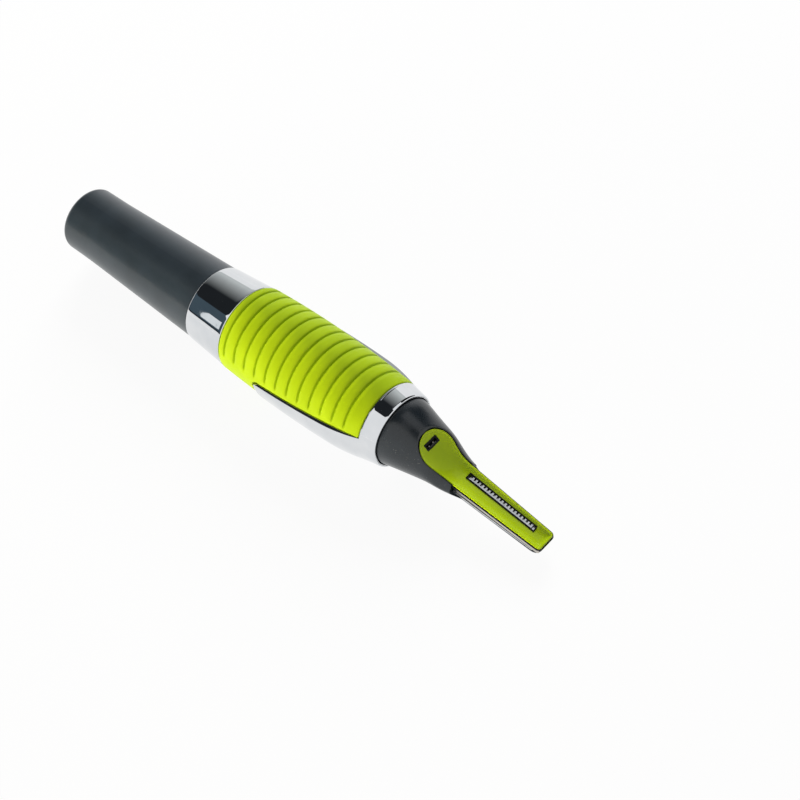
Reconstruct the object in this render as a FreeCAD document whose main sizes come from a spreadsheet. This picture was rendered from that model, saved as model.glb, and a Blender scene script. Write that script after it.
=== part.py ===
import FreeCAD, Part
import math
import operator
import os
import Sketcher

Vector = FreeCAD.Vector

doc = FreeCAD.newDocument("trimmer")

# Driving dimensions in millimetres and degrees. X runs along the handle from the tail
# to the tip, and heights are measured from the handle's axis.
SIZES = (
    ("cap_length", 43.7, "tail cap, end to mouth"),
    ("cap_wall", 0.95, "wall of the cap's slim end"),
    ("cap_play", 0.55, "play of the battery tube in the cap"),
    ("tail_straight", 9.0, "length of the tail that hardly tapers"),
    ("tail_flare", 0.1, "how far it tapers"),
    ("tail_crown", 0.3, "crown of the closed end"),
    ("tail_rounding", 1.3, "rounding of the closed end's rim"),
    ("gate_radius", 1.2, "moulding gate's dimple in the closed end"),
    ("gate_depth", 0.35, "depth of the dimple"),
    ("cap_inset", 0.2, "cap's mouth below the rear ring's lip"),
    ("cap_floor", 2.2, "thickness of the cap's end"),
    ("rear_ring_length", 11.6, "chrome ring behind the grip"),
    ("ring_lip_wall", 0.55, "rear ring over the barrel, at the cap"),
    ("ring_inset", 0.1, "rear ring below the grip's end"),
    ("ring_bevel", 0.3, "bevel of the chrome rings' ends"),
    ("cap_seam", 0.15, "seam between cap and rear ring"),
    ("grip_length", 42.2, "rubber grip"),
    ("grip_rear_wall", 1.55, "rubber over the barrel at the grip's rear end"),
    ("grip_front_wall", 0.85, "rubber over the barrel at the grip's front end"),
    ("grip_edge", 0.3, "bevel of the grip's ends"),
    ("grip_belly", 0.82, "how far the grip swells past a straight taper"),
    ("groove_count", 12, "ring grooves in the grip"),
    ("groove_pitch", 3.26, "spacing of the grooves"),
    ("groove_start", 2.1, "first groove's distance from the grip's rear end"),
    ("groove_width", 0.62, "width of a groove"),
    ("groove_depth", 0.42, "depth of a groove"),
    ("groove_sweep", 130.0, "angle that the grooves run round"),
    ("panel_length", 31.0, "chrome back panel, front of the grip to its rear end"),
    ("panel_proud", 0.45, "how far the panel stands out of the grip"),
    ("panel_nose", 4.5, "front slope of the panel down to the ring"),
    ("panel_edge", 0.3, "bevel of the panel's rear edge"),
    ("panel_corner", 2.2, "rounding of the panel's rear corners"),
    ("parting_rear", 1.35, "height of the panel's edge at its rear end"),
    ("parting_front", 3.85, "height of the panel's edge at the front ring"),
    ("parting_gap", 0.25, "dark gap between grip and panel"),
    ("rest_wall", 1.85, "barrel to the flat on the handle's back"),
    ("front_ring_length", 4.1, "chrome ring at the nozzle"),
    ("front_ring_wall", 0.47, "wall of the front ring at the nozzle"),
    ("barrel_wall", 1.5, "wall of the barrel round the motor"),
    ("nose_step", 0.55, "step from the barrel down to its nose"),
    ("nose_length", 1.6, "nose of the barrel behind the grip's front end"),
    ("nose_reach", 0.6, "nose of the barrel ahead of the grip's front end"),
    ("neck_length", 9.0, "neck of the barrel inside the tail cap"),
    ("neck_wall", 1.27, "wall of the neck round the battery tube"),
    ("neck_bevel", 0.4, "lead-in bevel of the neck"),
    ("seal_setback", 2.2, "sealing ring behind the neck's end"),
    ("fit_gap", 0.08, "clearance of a sliding or turning fit"),
    ("seat_gap", 0.03, "clearance of a fixed seat"),
    ("free_gap", 0.3, "clearance of parts that pass without touching"),
    ("seal_section", 1.0, "section of the sealing ring"),
    ("cell_radius", 5.25, "battery cell"),
    ("cell_length", 43.3, "battery cell without its nub"),
    ("nub_radius", 1.9, "nub of the battery cell"),
    ("nub_length", 1.1, "nub of the battery cell"),
    ("spring_length", 6.6, "battery spring, compressed by the cell"),
    ("spring_foot", 4.25, "radius of the spring's first coil"),
    ("spring_head", 2.6, "radius of the spring's last coil"),
    ("spring_turns", 3, "turns of the battery spring"),
    ("spring_wire", 0.6, "wire of the battery spring"),
    ("contact_sheet", 0.4, "sheet of the battery contacts"),
    ("tube_wall", 0.8, "wall of the battery tube"),
    ("tube_overhang", 3.8, "cell end that the tube leaves bare"),
    ("tube_slot", 2.8, "slot along the tube for the strip"),
    ("strip_width", 2.4, "strip of the battery's negative end"),
    ("tab_length", 3.0, "contacts past the tube, to the switch board"),
    ("motor_radius", 6.0, "motor can"),
    ("motor_length", 18.0, "motor can"),
    ("motor_wall", 0.6, "sheet of the motor can"),
    ("motor_setback", 21.5, "rear of the motor before the grip's front end"),
    ("shaft_radius", 0.75, "motor shaft"),
    ("crank_disc", 2.0, "thickness of the disc"),
    ("pin_reach", 2.6, "crank pin past the disc's front clearance"),
    ("crank_throw", 0.7, "throw of the crank pin"),
    ("fork_play", 0.95, "free play between crank pin and fork, each side"),
    ("crank_pin_radius", 0.5, "crank pin"),
    ("cradle_wall", 1.2, "front wall of the motor cradle"),
    ("cradle_side", 1.29, "side wall of the motor cradle"),
    ("screw_inset", 1.8, "motor screws inside the can's side"),
    ("screw_radius", 0.7, "shank of a motor screw"),
    ("screw_head", 1.25, "head of a motor screw"),
    ("screw_head_height", 0.8, "height of the head"),
    ("slot_length", 10.6, "slider's slot in the panel"),
    ("slot_width", 4.2, "slider's slot in the panel"),
    ("slot_setback", 28.2, "rear of the slot behind the grip's front end"),
    ("slider_travel", 3.5, "travel of the power slider"),
    ("slider_sink", 0.25, "slider's face above the resting plane"),
    ("board_sheet", 0.8, "switch board"),
    ("board_width", 6.8, "width of the switch board"),
    ("board_drop", 1.1, "switch board above the barrel's bore"),
    ("peg_length", 1.6, "slider's peg"),
    ("peg_width", 1.8, "slider's peg"),
    ("head_length", 39.8, "front ring to tip"),
    ("nozzle_step", 0.7, "step from the front ring down to the nozzle"),
    ("nozzle_length", 20.4, "cone of the nozzle"),
    ("nozzle_brow", 0.5, "nozzle above the insert's rear end"),
    ("nozzle_drop", 0.85, "fall of the nozzle's top halfway to the insert"),
    ("nozzle_hollow", 0.6, "hollow of the cone's underside"),
    ("nozzle_wall", 1.3, "wall of the nozzle"),
    ("nozzle_ledge", 0.38, "nozzle visible beside the insert"),
    ("bar_half_width", 3.6, "nozzle half width where the bar begins"),
    ("bar_rear_depth", 4.4, "rim to the bar's back where the bar begins"),
    ("bar_tip_depth", 3.5, "rim to the bar's back at its front end"),
    ("bar_keel", 1.5, "half width of the bar's back"),
    ("head_lean", 10.9, "backward lean of the bar, degrees"),
    ("scoop_start", 7.3, "front ring to the insert's rear end"),
    ("scoop_height", 5.65, "height of the insert's rear end"),
    ("knee_start", 12.6, "front ring to the scoop's knee"),
    ("knee_height", 0.75, "height of the scoop's knee"),
    ("knee_hollow", 0.28, "hollow between the knee and the bar"),
    ("bar_start", 16.4, "front ring to the straight bar"),
    ("bar_height", -1.23, "height of the rim where the bar begins"),
    ("spoon_width", 4.22, "widest half width of the insert"),
    ("spoon_reach", 3.3, "widest place ahead of the insert's rear end"),
    ("insert_shoulder", 3.75, "insert half width at the knee"),
    ("shoulder_crown", 0.09, "crown of the outline between the widest place and the knee"),
    ("insert_neck", 3.34, "insert half width between the knee and the bar"),
    ("insert_waist", 3.23, "insert half width where the bar begins"),
    ("insert_tip", 2.55, "insert half width at the tip"),
    ("tip_corner", 0.8, "rounded corners of the tip"),
    ("tip_bow", 0.25, "bow of the tip's end"),
    ("tip_rim", 0.9, "rim at the tip"),
    ("insert_depth", 1.2, "insert from its rim to its seat"),
    ("rim_width", 0.4, "raised rim of the insert"),
    ("scoop_depth", 0.8, "hollow of the insert's rear half below its rim"),
    ("scoop_flare", 0.7, "hollow's arc wider than the insert, so that the rim stands up"),
    ("channel_depth", 0.8, "hollow round the comb slot below the rim"),
    ("channel_setback", 0.9, "scoop runs into the channel behind the comb slot"),
    ("comb_start", 17.6, "front ring to the comb slot"),
    ("comb_end", 3.9, "comb slot's front end behind the tip"),
    ("comb_slot_width", 1.4, "comb slot"),
    ("comb_offset", 1.05, "comb slot beside the bar's centre"),
    ("comb_inset", 0.3, "slot's edge to the comb's spine"),
    ("tooth_pitch", 0.88, "spacing of the comb's teeth"),
    ("tooth_gap", 0.6, "gap between two teeth"),
    ("tooth_margin", 0.9, "slot end to the comb's first gap"),
    ("blade_margin", 0.35, "slot end to the moving blade's end"),
    ("comb_spine", 0.36, "strip that carries the teeth"),
    ("blade_sheet", 0.3, "moving comb blade"),
    ("tang_half", 1.0, "half width of the moving blade's tang"),
    ("plate_sheet", 0.45, "fixed blade plate"),
    ("plate_start", 17.0, "front ring to the plate's rear end"),
    ("plate_end", 1.1, "plate's front end behind the tip"),
    ("plate_rear_width", 3.6, "plate half width at its rear end"),
    ("plate_front_width", 2.75, "plate half width at its front end"),
    ("plate_rounding", 1.2, "rounded front corners of the plate"),
    ("guide_depth", 0.5, "guide between insert and plate"),
    ("guide_inset", 0.35, "guide narrower than the plate"),
    ("lever_pivot", 8.4, "front ring to the lever's pivot"),
    ("lever_arm", 3.2, "pivot to the pin that drives the blade"),
    ("lever_sheet", 0.7, "plate of the lever"),
    ("lever_width", 1.8, "stem of the lever"),
    ("lever_hub", 1.7, "radius of the lever's hub"),
    ("lever_eye", 0.9, "radius of the lever's end at the drive pin"),
    ("fork_setback", 0.5, "fork's open end ahead of the crank's clearance"),
    ("fork_depth", 3.0, "depth of the fork"),
    ("fork_height", 3.4, "height of the fork's prongs"),
    ("fork_sheet", 0.8, "prongs and bridge of the fork"),
    ("pivot_radius", 0.8, "pivot pin of the lever"),
    ("drive_pin_radius", 0.5, "pin that drives the blade"),
    ("led_width", 3.8, "lamp window"),
    ("led_height", 1.7, "lamp window"),
    ("led_frame", 0.4, "black frame of the lamp window"),
    ("lead_radius", 0.25, "lamp leads"),
    ("lead_spread", 1.0, "lamp lead beside the axis"),
    ("ring_width", 1.2, "width of the lamp's contact ring"),
    ("ring_sheet", 0.6, "thickness of the contact ring"),
    ("pivot_reach", 6.4, "rim to the foot of the pivot boss"),
    ("boss_wall", 0.9, "wall of the pivot boss"),
    ("pin_head", 1.35, "head of the pivot pin"),
    ("pin_head_height", 0.5, "height of its head"),
)

sheet = doc.addObject("Spreadsheet::Sheet", "Sizes")
for row, (alias, value, note) in enumerate(SIZES, 1):
    sheet.set(f"A{row}", note)
    sheet.set(f"B{row}", str(value))
    sheet.setAlias(f"B{row}", alias)
doc.recompute()

OPERATORS = {"+": operator.add, "-": operator.sub, "*": operator.mul, "/": operator.truediv}


class Size:
    """A formula of the sheet's cells, with its present value."""

    def __init__(self, text, value):
        self.text = text
        self.value = value

    def __add__(self, other):
        return combine(self, "+", other)

    def __radd__(self, other):
        return combine(other, "+", self)

    def __sub__(self, other):
        return combine(self, "-", other)

    def __rsub__(self, other):
        return combine(other, "-", self)

    def __mul__(self, other):
        return combine(self, "*", other)

    def __rmul__(self, other):
        return combine(other, "*", self)

    def __truediv__(self, other):
        return combine(self, "/", other)

    def __neg__(self):
        return combine(0, "-", self)


def as_size(number):
    """A plain number as a Size."""
    if isinstance(number, Size):
        return number
    return Size(f"({float(number)})", float(number))


def combine(first, sign, second):
    first, second = as_size(first), as_size(second)
    value = OPERATORS[sign](first.value, second.value)
    return Size(f"({first.text} {sign} {second.text})", value)


def square_root(size):
    return Size(f"sqrt({size.text})", math.sqrt(size.value))


def slope_of(angle):
    """Rise per millimetre of a line at an angle given in degrees."""
    return Size(f"tan({angle.text})", math.tan(math.radians(angle.value)))


def whole(size):
    """The whole number at or below a size."""
    return Size(f"floor({size.text})", float(math.floor(size.value)))


def sine(angle):
    return Size(f"sin({angle.text})", math.sin(math.radians(angle.value)))


def cosine(angle):
    return Size(f"cos({angle.text})", math.cos(math.radians(angle.value)))


class Cells:
    """Cells of the sheet by their aliases."""

    def __getattr__(self, alias):
        return Size(f"Sizes.{alias}", float(sheet.get(alias)))


s = Cells()

# Stations along the handle.
X_CAP = s.cap_length
X_GRIP = X_CAP + s.rear_ring_length
X_FRONT = X_GRIP + s.grip_length
X_HEAD = X_FRONT + s.front_ring_length
X_TIP = X_HEAD + s.head_length
X_PANEL = X_FRONT - s.panel_length
X_NECK = X_CAP - s.neck_length
X_CELL = s.cap_floor + s.contact_sheet + s.spring_length
X_NUB = X_CELL + s.cell_length
X_TUBE_END = X_NUB + s.nub_length + s.contact_sheet + s.tube_wall
X_MOTOR = X_FRONT - s.motor_setback
X_MOTOR_END = X_MOTOR + s.motor_length
X_CRANK = X_MOTOR_END + s.cradle_wall + s.free_gap
X_CRANK_FACE = X_CRANK + s.crank_disc
X_FORK = X_CRANK_FACE + s.free_gap
X_SLOT = X_FRONT - s.slot_setback
PEG_REAR = X_SLOT + s.free_gap * 3
X_SEAL = X_NECK + s.seal_setback
X_BAR = X_HEAD + s.bar_start
X_KNEE = X_HEAD + s.knee_start
X_SCOOP = X_HEAD + s.scoop_start
X_COMB = X_HEAD + s.comb_start
X_PLATE = X_HEAD + s.plate_start
X_PLATE_END = X_TIP - s.plate_end
X_PIVOT = X_HEAD + s.lever_pivot
FAR = as_size(30)

# Radii, from the cell and the motor outwards.
TUBE_BORE = s.cell_radius + s.free_gap
TUBE_RADIUS = TUBE_BORE + s.tube_wall
NECK_BORE = TUBE_RADIUS + s.seat_gap
NECK_RADIUS = NECK_BORE + s.neck_wall
MOUTH_BORE = NECK_RADIUS + s.fit_gap
CAP_BORE = TUBE_RADIUS + s.cap_play
TAIL_RADIUS = CAP_BORE + s.cap_wall
BARREL_BORE = s.motor_radius + s.seat_gap + s.cradle_side + s.fit_gap
BARREL_RADIUS = BARREL_BORE + s.barrel_wall
RING_SEAT = BARREL_RADIUS - s.free_gap
RING_LIP = BARREL_RADIUS + s.ring_lip_wall
MOUTH_RADIUS = RING_LIP - s.cap_inset
NOSE_RADIUS = BARREL_RADIUS - s.nose_step
GRIP_REAR = BARREL_RADIUS + s.grip_rear_wall
GRIP_FRONT = BARREL_RADIUS + s.grip_front_wall
NOSE_BORE = NOSE_RADIUS + s.fit_gap
FRONT_RING = NOSE_BORE + s.front_ring_wall
NOZZLE_RADIUS = FRONT_RING - s.nozzle_step
REST_HEIGHT = BARREL_RADIUS + s.rest_wall
SCREW_CIRCLE = s.motor_radius - s.screw_inset
CONTACT_BORE = SCREW_CIRCLE + s.screw_head + s.fit_gap * 2
LEAD_HEIGHT = CONTACT_BORE + s.ring_width / 2 + s.lead_radius


def rim_height(x, drop=0):
    """Height of the leaning bar's rim at x, or of a line below it."""
    return s.bar_height - (x - X_BAR) * slope_of(s.head_lean) - drop


def along(x, depth=0):
    """Distance along the leaning bar of a point below its rim at x."""
    return (x - X_BAR + depth * sine(s.head_lean)) / cosine(s.head_lean)


def grip_radius(x):
    """Radius of the grip's barrel-shaped surface at x."""
    middle = (X_GRIP + X_FRONT) / 2
    half = s.grip_length / 2
    share = (x - X_GRIP) / s.grip_length
    taper = GRIP_REAR + (GRIP_FRONT - GRIP_REAR) * share
    return taper + s.grip_belly * (1 - (x - middle) * (x - middle) / (half * half))


# Document helpers.

def bind(item, name, value):
    item.setExpression(name, as_size(value).text)


def body(label):
    """An empty body that is placed with the trimmer lying on its back panel."""
    item = doc.addObject("PartDesign::Body", label)
    item.Label = label
    place(item)
    return item


def place(item):
    bind(item, ".Placement.Base.x", X_TIP / -2)
    bind(item, ".Placement.Base.z", REST_HEIGHT)


def lean(item):
    """Place a body in the leaning bar's frame: X along the bar from its start, Z off its rim."""
    item.Placement.Rotation.Axis = Vector(0, 1, 0)
    item.Placement.Rotation.Angle = 0.1
    item.Placement.Rotation.Axis = Vector(0, 1, 0)
    bind(item, ".Placement.Rotation.Angle", s.head_lean)
    bind(item, ".Placement.Base.x", X_BAR - X_TIP / 2)
    bind(item, ".Placement.Base.z", REST_HEIGHT + s.bar_height)


def origin(owner, role):
    return next(item for item in owner.Origin.OriginFeatures if item.Role == role)


def pin_point(item, index, end, x, y):
    """Hold one end of a sketch edge at bound coordinates."""
    for kind, value in (("DistanceX", x), ("DistanceY", y)):
        rule = Sketcher.Constraint(kind, -1, 1, index, end, value.value)
        number = item.addConstraint(rule)
        item.setExpression(f"Constraints[{number}]", value.text)


def sketch(owner, plane, outlines, lift=None):
    """A sketch of closed outlines on one of the body's planes.

    A corner is (x, y), or (x, y, via x, via y) where an arc runs to the next corner.
    """
    item = owner.newObject("Sketcher::SketchObject", "Outline")
    item.AttachmentSupport = [(origin(owner, plane), "")]
    item.MapMode = "FlatFace"
    if lift is not None:
        bind(item, ".AttachmentOffset.Base.z", lift)
    for outline in outlines:
        corners = [[as_size(number) for number in corner] for corner in outline]
        ends = []
        for here, there in zip(corners, corners[1:] + corners[:1]):
            start = Vector(here[0].value, here[1].value)
            finish = Vector(there[0].value, there[1].value)
            if len(here) == 4:
                edge = Part.Arc(start, Vector(here[2].value, here[3].value), finish)
            else:
                edge = Part.LineSegment(start, finish)
            index = item.addGeometry(edge, False)
            first = 1 if item.getPoint(index, 1).distanceToPoint(start) < 1e-6 else 2
            ends.append((index, first, 3 - first))
            pin_point(item, index, first, here[0], here[1])
            if len(here) == 4:
                point = item.addGeometry(Part.Point(Vector(here[2].value, here[3].value)), True)
                pin_point(item, point, 1, here[2], here[3])
                item.addConstraint(Sketcher.Constraint("PointOnObject", point, 1, index))
        for (index, _, last), (following, first, _) in zip(ends, ends[1:] + ends[:1]):
            item.addConstraint(Sketcher.Constraint("Coincident", index, last, following, first))
    return item


def circle_sketch(owner, plane, circles, lift=None):
    """A sketch of circles (x, y, radius) on one of the body's planes."""
    item = owner.newObject("Sketcher::SketchObject", "Circles")
    item.AttachmentSupport = [(origin(owner, plane), "")]
    item.MapMode = "FlatFace"
    if lift is not None:
        bind(item, ".AttachmentOffset.Base.z", lift)
    for circle in circles:
        x, y, radius = [as_size(number) for number in circle]
        shape = Part.Circle(Vector(x.value, y.value), Vector(0, 0, 1), radius.value)
        index = item.addGeometry(shape, False)
        pin_point(item, index, 3, x, y)
        rule = Sketcher.Constraint("Radius", index, radius.value)
        number = item.addConstraint(rule)
        item.setExpression(f"Constraints[{number}]", radius.text)
    return item


def revolve(owner, outlines, kind="PartDesign::Revolution"):
    """Turn outlines of (x, radius) round the handle's axis."""
    profile = sketch(owner, "XZ_Plane", outlines)
    item = owner.newObject(kind, "Turned")
    item.Profile = profile
    item.ReferenceAxis = (origin(owner, "X_Axis"), [""])
    item.Angle = 360
    doc.recompute()
    return item


def pad(owner, profile, length, both_ways=False):
    item = owner.newObject("PartDesign::Pad", "Pad")
    item.Profile = profile
    item.SideType = "Symmetric" if both_ways else "One side"
    bind(item, "Length", length)
    doc.recompute()
    return item


def pocket(owner, profile, length=None, both_ways=False, backwards=False):
    """Cut a profile out; it must take material away."""
    before = owner.Shape.Volume
    item = owner.newObject("PartDesign::Pocket", "Pocket")
    item.Profile = profile
    item.Reversed = backwards
    if both_ways:
        item.SideType = "Symmetric"
    if length is None:
        item.Type = "ThroughAll"
    else:
        bind(item, "Length", length)
    doc.recompute()
    if owner.Shape.Volume > before - 1e-4:
        raise RuntimeError(f"{owner.Label}: a pocket cuts nothing")
    return item


def loft(owner, sections, kind="PartDesign::AdditiveLoft"):
    item = owner.newObject(kind, "Loft")
    item.Profile = sections[0]
    item.Sections = sections[1:]
    item.Ruled = False
    doc.recompute()
    return item


def rectangle(low_x, low_y, high_x, high_y):
    return [(low_x, low_y), (high_x, low_y), (high_x, high_y), (low_x, high_y)]


def oval(half_width, top, bottom, fullness):
    """Four arcs through the ends of the axes; fullness 0.707 is a true ellipse's."""
    middle = (as_size(top) + bottom) / 2
    half = (as_size(top) - bottom) / 2
    wide = half_width * fullness
    tall = half * fullness
    return [
        (half_width, middle, wide, middle + tall),
        (0, top, -wide, middle + tall),
        (-half_width, middle, -wide, middle - tall),
        (0, bottom, wide, middle - tall),
    ]


# Handle: tail cap, rings, grip and barrel.

def make_tail_cap():
    cap = body("tail_cap")
    stop = X_NECK - s.free_gap
    bend = s.tail_rounding * 0.2929
    revolve(cap, [[
        (s.gate_depth, 0),
        (0, s.gate_radius),
        (s.tail_crown, TAIL_RADIUS - s.tail_rounding, s.tail_crown + bend, TAIL_RADIUS - bend),
        (s.tail_crown + s.tail_rounding, TAIL_RADIUS),
        (s.tail_straight, TAIL_RADIUS + s.tail_flare),
        (X_CAP, MOUTH_RADIUS),
        (X_CAP, MOUTH_BORE),
        (stop, MOUTH_BORE),
        (stop - (MOUTH_BORE - CAP_BORE), CAP_BORE),
        (s.cap_floor, CAP_BORE),
        (s.cap_floor, 0),
    ]])
    return cap


def make_rear_ring():
    ring = body("rear_ring")
    bore = RING_SEAT + s.seat_gap
    rear = X_CAP + s.cap_seam
    swell = GRIP_REAR - s.ring_inset
    revolve(ring, [[
        (rear, bore),
        (rear, RING_LIP - s.ring_bevel),
        (rear + s.ring_bevel, RING_LIP),
        (X_GRIP - s.ring_bevel, swell),
        (X_GRIP, swell - s.ring_bevel),
        (X_GRIP, bore),
    ]])
    return ring


def panel_outline(margin):
    """Side view of the space that the back panel takes, grown by a margin."""
    rear = X_PANEL - margin
    corner = s.panel_corner
    edge_rear = s.parting_rear + margin
    edge_front = s.parting_front + margin
    bend = corner * 0.2929
    return [
        (rear, -FAR),
        (X_FRONT + margin, -FAR),
        (X_FRONT + margin, edge_front),
        (rear + corner, edge_rear, rear + bend, edge_rear - bend),
        (rear, edge_rear - corner),
    ]


def make_grip():
    grip = body("grip")
    middle = (X_GRIP + X_FRONT) / 2
    inner = BARREL_RADIUS + s.seat_gap
    edge = s.grip_edge
    rear = grip_radius(X_GRIP)
    front = grip_radius(X_FRONT)
    revolve(grip, [[
        (X_GRIP, inner),
        (X_GRIP, rear - edge),
        (X_GRIP + edge, rear, middle, grip_radius(middle)),
        (X_FRONT - edge, front),
        (X_FRONT, front - edge),
        (X_FRONT, inner),
    ]])
    grooves = []
    for number in range(int(s.groove_count.value)):
        x = X_GRIP + s.groove_start + s.groove_pitch * number
        surface = grip_radius(x)
        half = s.groove_width / 2
        grooves.append([
            (x - half, surface + 0.3),
            (x - half * 0.5, surface - s.groove_depth),
            (x + half * 0.5, surface - s.groove_depth),
            (x + half, surface + 0.3),
        ])
    profile = sketch(grip, "XZ_Plane", grooves)
    groove = grip.newObject("PartDesign::Groove", "RingGrooves")
    groove.Profile = profile
    groove.ReferenceAxis = (origin(grip, "X_Axis"), [""])
    groove.Midplane = True
    bind(groove, "Angle", s.groove_sweep)
    doc.recompute()
    window = sketch(grip, "XZ_Plane", [panel_outline(s.parting_gap)])
    pocket(grip, window, both_ways=True)
    flat = rectangle(X_GRIP - 1, -FAR, X_FRONT, -REST_HEIGHT)
    pocket(grip, sketch(grip, "XZ_Plane", [flat]), both_ways=True)
    return grip


def make_bezel():
    """Front ring and back panel in one chromed moulding."""
    bezel = body("chrome_bezel")
    middle = (X_GRIP + X_FRONT) / 2
    proud = grip_radius(middle) + s.panel_proud
    inner = BARREL_RADIUS + s.fit_gap
    nose = X_FRONT - s.nose_length
    revolve(bezel, [[
        (X_PANEL, inner),
        (X_PANEL, grip_radius(X_PANEL) - s.panel_edge),
        (X_PANEL + s.panel_edge, grip_radius(X_PANEL) + 0.18),
        (X_PANEL + 1.2, proud - 0.02, middle, proud + 0.05),
        (X_FRONT - s.panel_nose - 5.5, proud - 0.2, X_FRONT - s.panel_nose, GRIP_FRONT + 0.86),
        (X_FRONT, GRIP_FRONT - s.ring_inset),
        (X_HEAD - s.ring_bevel, FRONT_RING + 0.1),
        (X_HEAD, FRONT_RING - 0.2),
        (X_HEAD, NOSE_BORE),
        (nose, NOSE_BORE),
        (nose, inner),
    ]])
    above = [
        (X_PANEL - 1, s.parting_rear - s.panel_corner),
        (X_PANEL, s.parting_rear - s.panel_corner, X_PANEL + s.panel_corner * 0.2929,
         s.parting_rear - s.panel_corner * 0.2929),
        (X_PANEL + s.panel_corner, s.parting_rear),
        (X_FRONT, s.parting_front),
        (X_FRONT, FAR),
        (X_PANEL - 1, FAR),
    ]
    pocket(bezel, sketch(bezel, "XZ_Plane", [above]), both_ways=True)
    flat = rectangle(X_PANEL - 1, -FAR, X_FRONT, -REST_HEIGHT)
    pocket(bezel, sketch(bezel, "XZ_Plane", [flat]), both_ways=True)
    window = sketch(bezel, "XY_Plane", [rectangle(
        X_SLOT, s.slot_width / -2, X_SLOT + s.slot_length, s.slot_width / 2)])
    pocket(bezel, window)
    return bezel


def make_barrel():
    barrel = body("barrel")
    groove_end = X_SEAL + s.seal_section * 1.3
    groove_floor = NECK_RADIUS - s.seal_section
    shoulder = X_CAP + s.cap_seam
    revolve(barrel, [[
        (X_NECK, NECK_BORE),
        (X_NECK, NECK_RADIUS - s.neck_bevel),
        (X_NECK + s.neck_bevel, NECK_RADIUS),
        (X_SEAL, NECK_RADIUS),
        (X_SEAL, groove_floor),
        (groove_end, groove_floor),
        (groove_end, NECK_RADIUS),
        (shoulder, NECK_RADIUS),
        (shoulder, RING_SEAT),
        (X_GRIP, RING_SEAT),
        (X_GRIP, BARREL_RADIUS),
        (X_FRONT - s.nose_length, BARREL_RADIUS),
        (X_FRONT - s.nose_length, NOSE_RADIUS),
        (X_FRONT + s.nose_reach, NOSE_RADIUS),
        (X_FRONT + s.nose_reach, BARREL_BORE),
        (X_TUBE_END, BARREL_BORE),
        (X_TUBE_END, NECK_BORE),
    ]])
    half = s.peg_width / 2 + s.free_gap + 0.1
    end = PEG_REAR + s.peg_length + s.slider_travel + s.free_gap
    pocket(barrel, sketch(barrel, "XY_Plane", [rectangle(PEG_REAR - s.free_gap, -half, end, half)]))
    return barrel


def make_cap_seal():
    """Sealing ring in the neck's groove."""
    seal = body("cap_seal")
    rear = X_SEAL + s.seal_section * 0.15
    front = rear + s.seal_section
    bevel = s.seal_section * 0.3
    foot = NECK_RADIUS - s.seal_section
    revolve(seal, [[
        (rear, foot + bevel),
        (rear, NECK_RADIUS - bevel),
        (rear + bevel, NECK_RADIUS),
        (front - bevel, NECK_RADIUS),
        (front, NECK_RADIUS - bevel),
        (front, foot + bevel),
        (front - bevel, foot),
        (rear + bevel, foot),
    ]])
    return seal


# Battery compartment.

def make_spring_plate():
    plate = body("spring_plate")
    rim = CAP_BORE - s.cap_play - s.fit_gap
    revolve(plate, [rectangle(s.cap_floor, 0, s.cap_floor + s.contact_sheet, rim)])
    return plate


def make_battery_spring():
    """Conical coil between the plate in the cap and the cell."""
    spring = body("battery_spring")
    half = s.spring_wire / 2
    foot = s.cap_floor + s.contact_sheet + half
    bevel = s.spring_wire * 0.29
    base = s.spring_foot
    wire = [
        (foot - half, base - half + bevel),
        (foot - half, base + half - bevel),
        (foot - half + bevel, base + half),
        (foot + half - bevel, base + half),
        (foot + half, base + half - bevel),
        (foot + half, base - half + bevel),
        (foot + half - bevel, base - half),
        (foot - half + bevel, base - half),
    ]
    profile = sketch(spring, "XZ_Plane", [wire])
    helix = spring.newObject("PartDesign::AdditiveHelix", "Coil")
    helix.Profile = profile
    helix.ReferenceAxis = (origin(spring, "X_Axis"), [""])
    helix.Mode = "height-turns-growth"
    bind(helix, "Height", s.spring_length - s.spring_wire)
    bind(helix, "Turns", s.spring_turns)
    bind(helix, "Growth", (s.spring_head - base) / s.spring_turns)
    doc.recompute()
    return spring


def make_battery_cell():
    cell = body("battery_cell")
    revolve(cell, [[
        (X_CELL, 0),
        (X_CELL, s.cell_radius - 0.3),
        (X_CELL + 0.3, s.cell_radius),
        (X_NUB - 0.3, s.cell_radius),
        (X_NUB, s.cell_radius - 0.3),
        (X_NUB, s.nub_radius),
        (X_NUB + s.nub_length, s.nub_radius),
        (X_NUB + s.nub_length, 0),
    ]])
    return cell


def make_battery_tube():
    tube = body("battery_tube")
    start = X_CELL + s.tube_overhang
    hole = s.nub_radius + 0.1
    revolve(tube, [[
        (start, TUBE_BORE),
        (start, TUBE_RADIUS),
        (X_TUBE_END, TUBE_RADIUS),
        (X_TUBE_END, hole),
        (X_TUBE_END - s.tube_wall, hole),
        (X_TUBE_END - s.tube_wall, TUBE_BORE),
    ]])
    half = s.tube_slot / 2
    channel = rectangle(start - 1, -half, X_TUBE_END + 1, half)
    pocket(tube, sketch(tube, "XY_Plane", [channel]), backwards=True)
    return tube


def make_positive_contact():
    contact = body("positive_contact")
    rear = X_NUB + s.nub_length
    reach = s.cell_radius - 1.2
    half = s.nub_radius
    pad(contact, sketch(contact, "YZ_Plane", [rectangle(-half, -reach, half, reach)], rear),
        s.contact_sheet)
    half = s.strip_width / 3
    tab = rectangle(rear, -half, X_TUBE_END + s.tab_length, half)
    pad(contact, sketch(contact, "XY_Plane", [tab], s.contact_sheet / -2), s.contact_sheet)
    return contact


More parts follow.
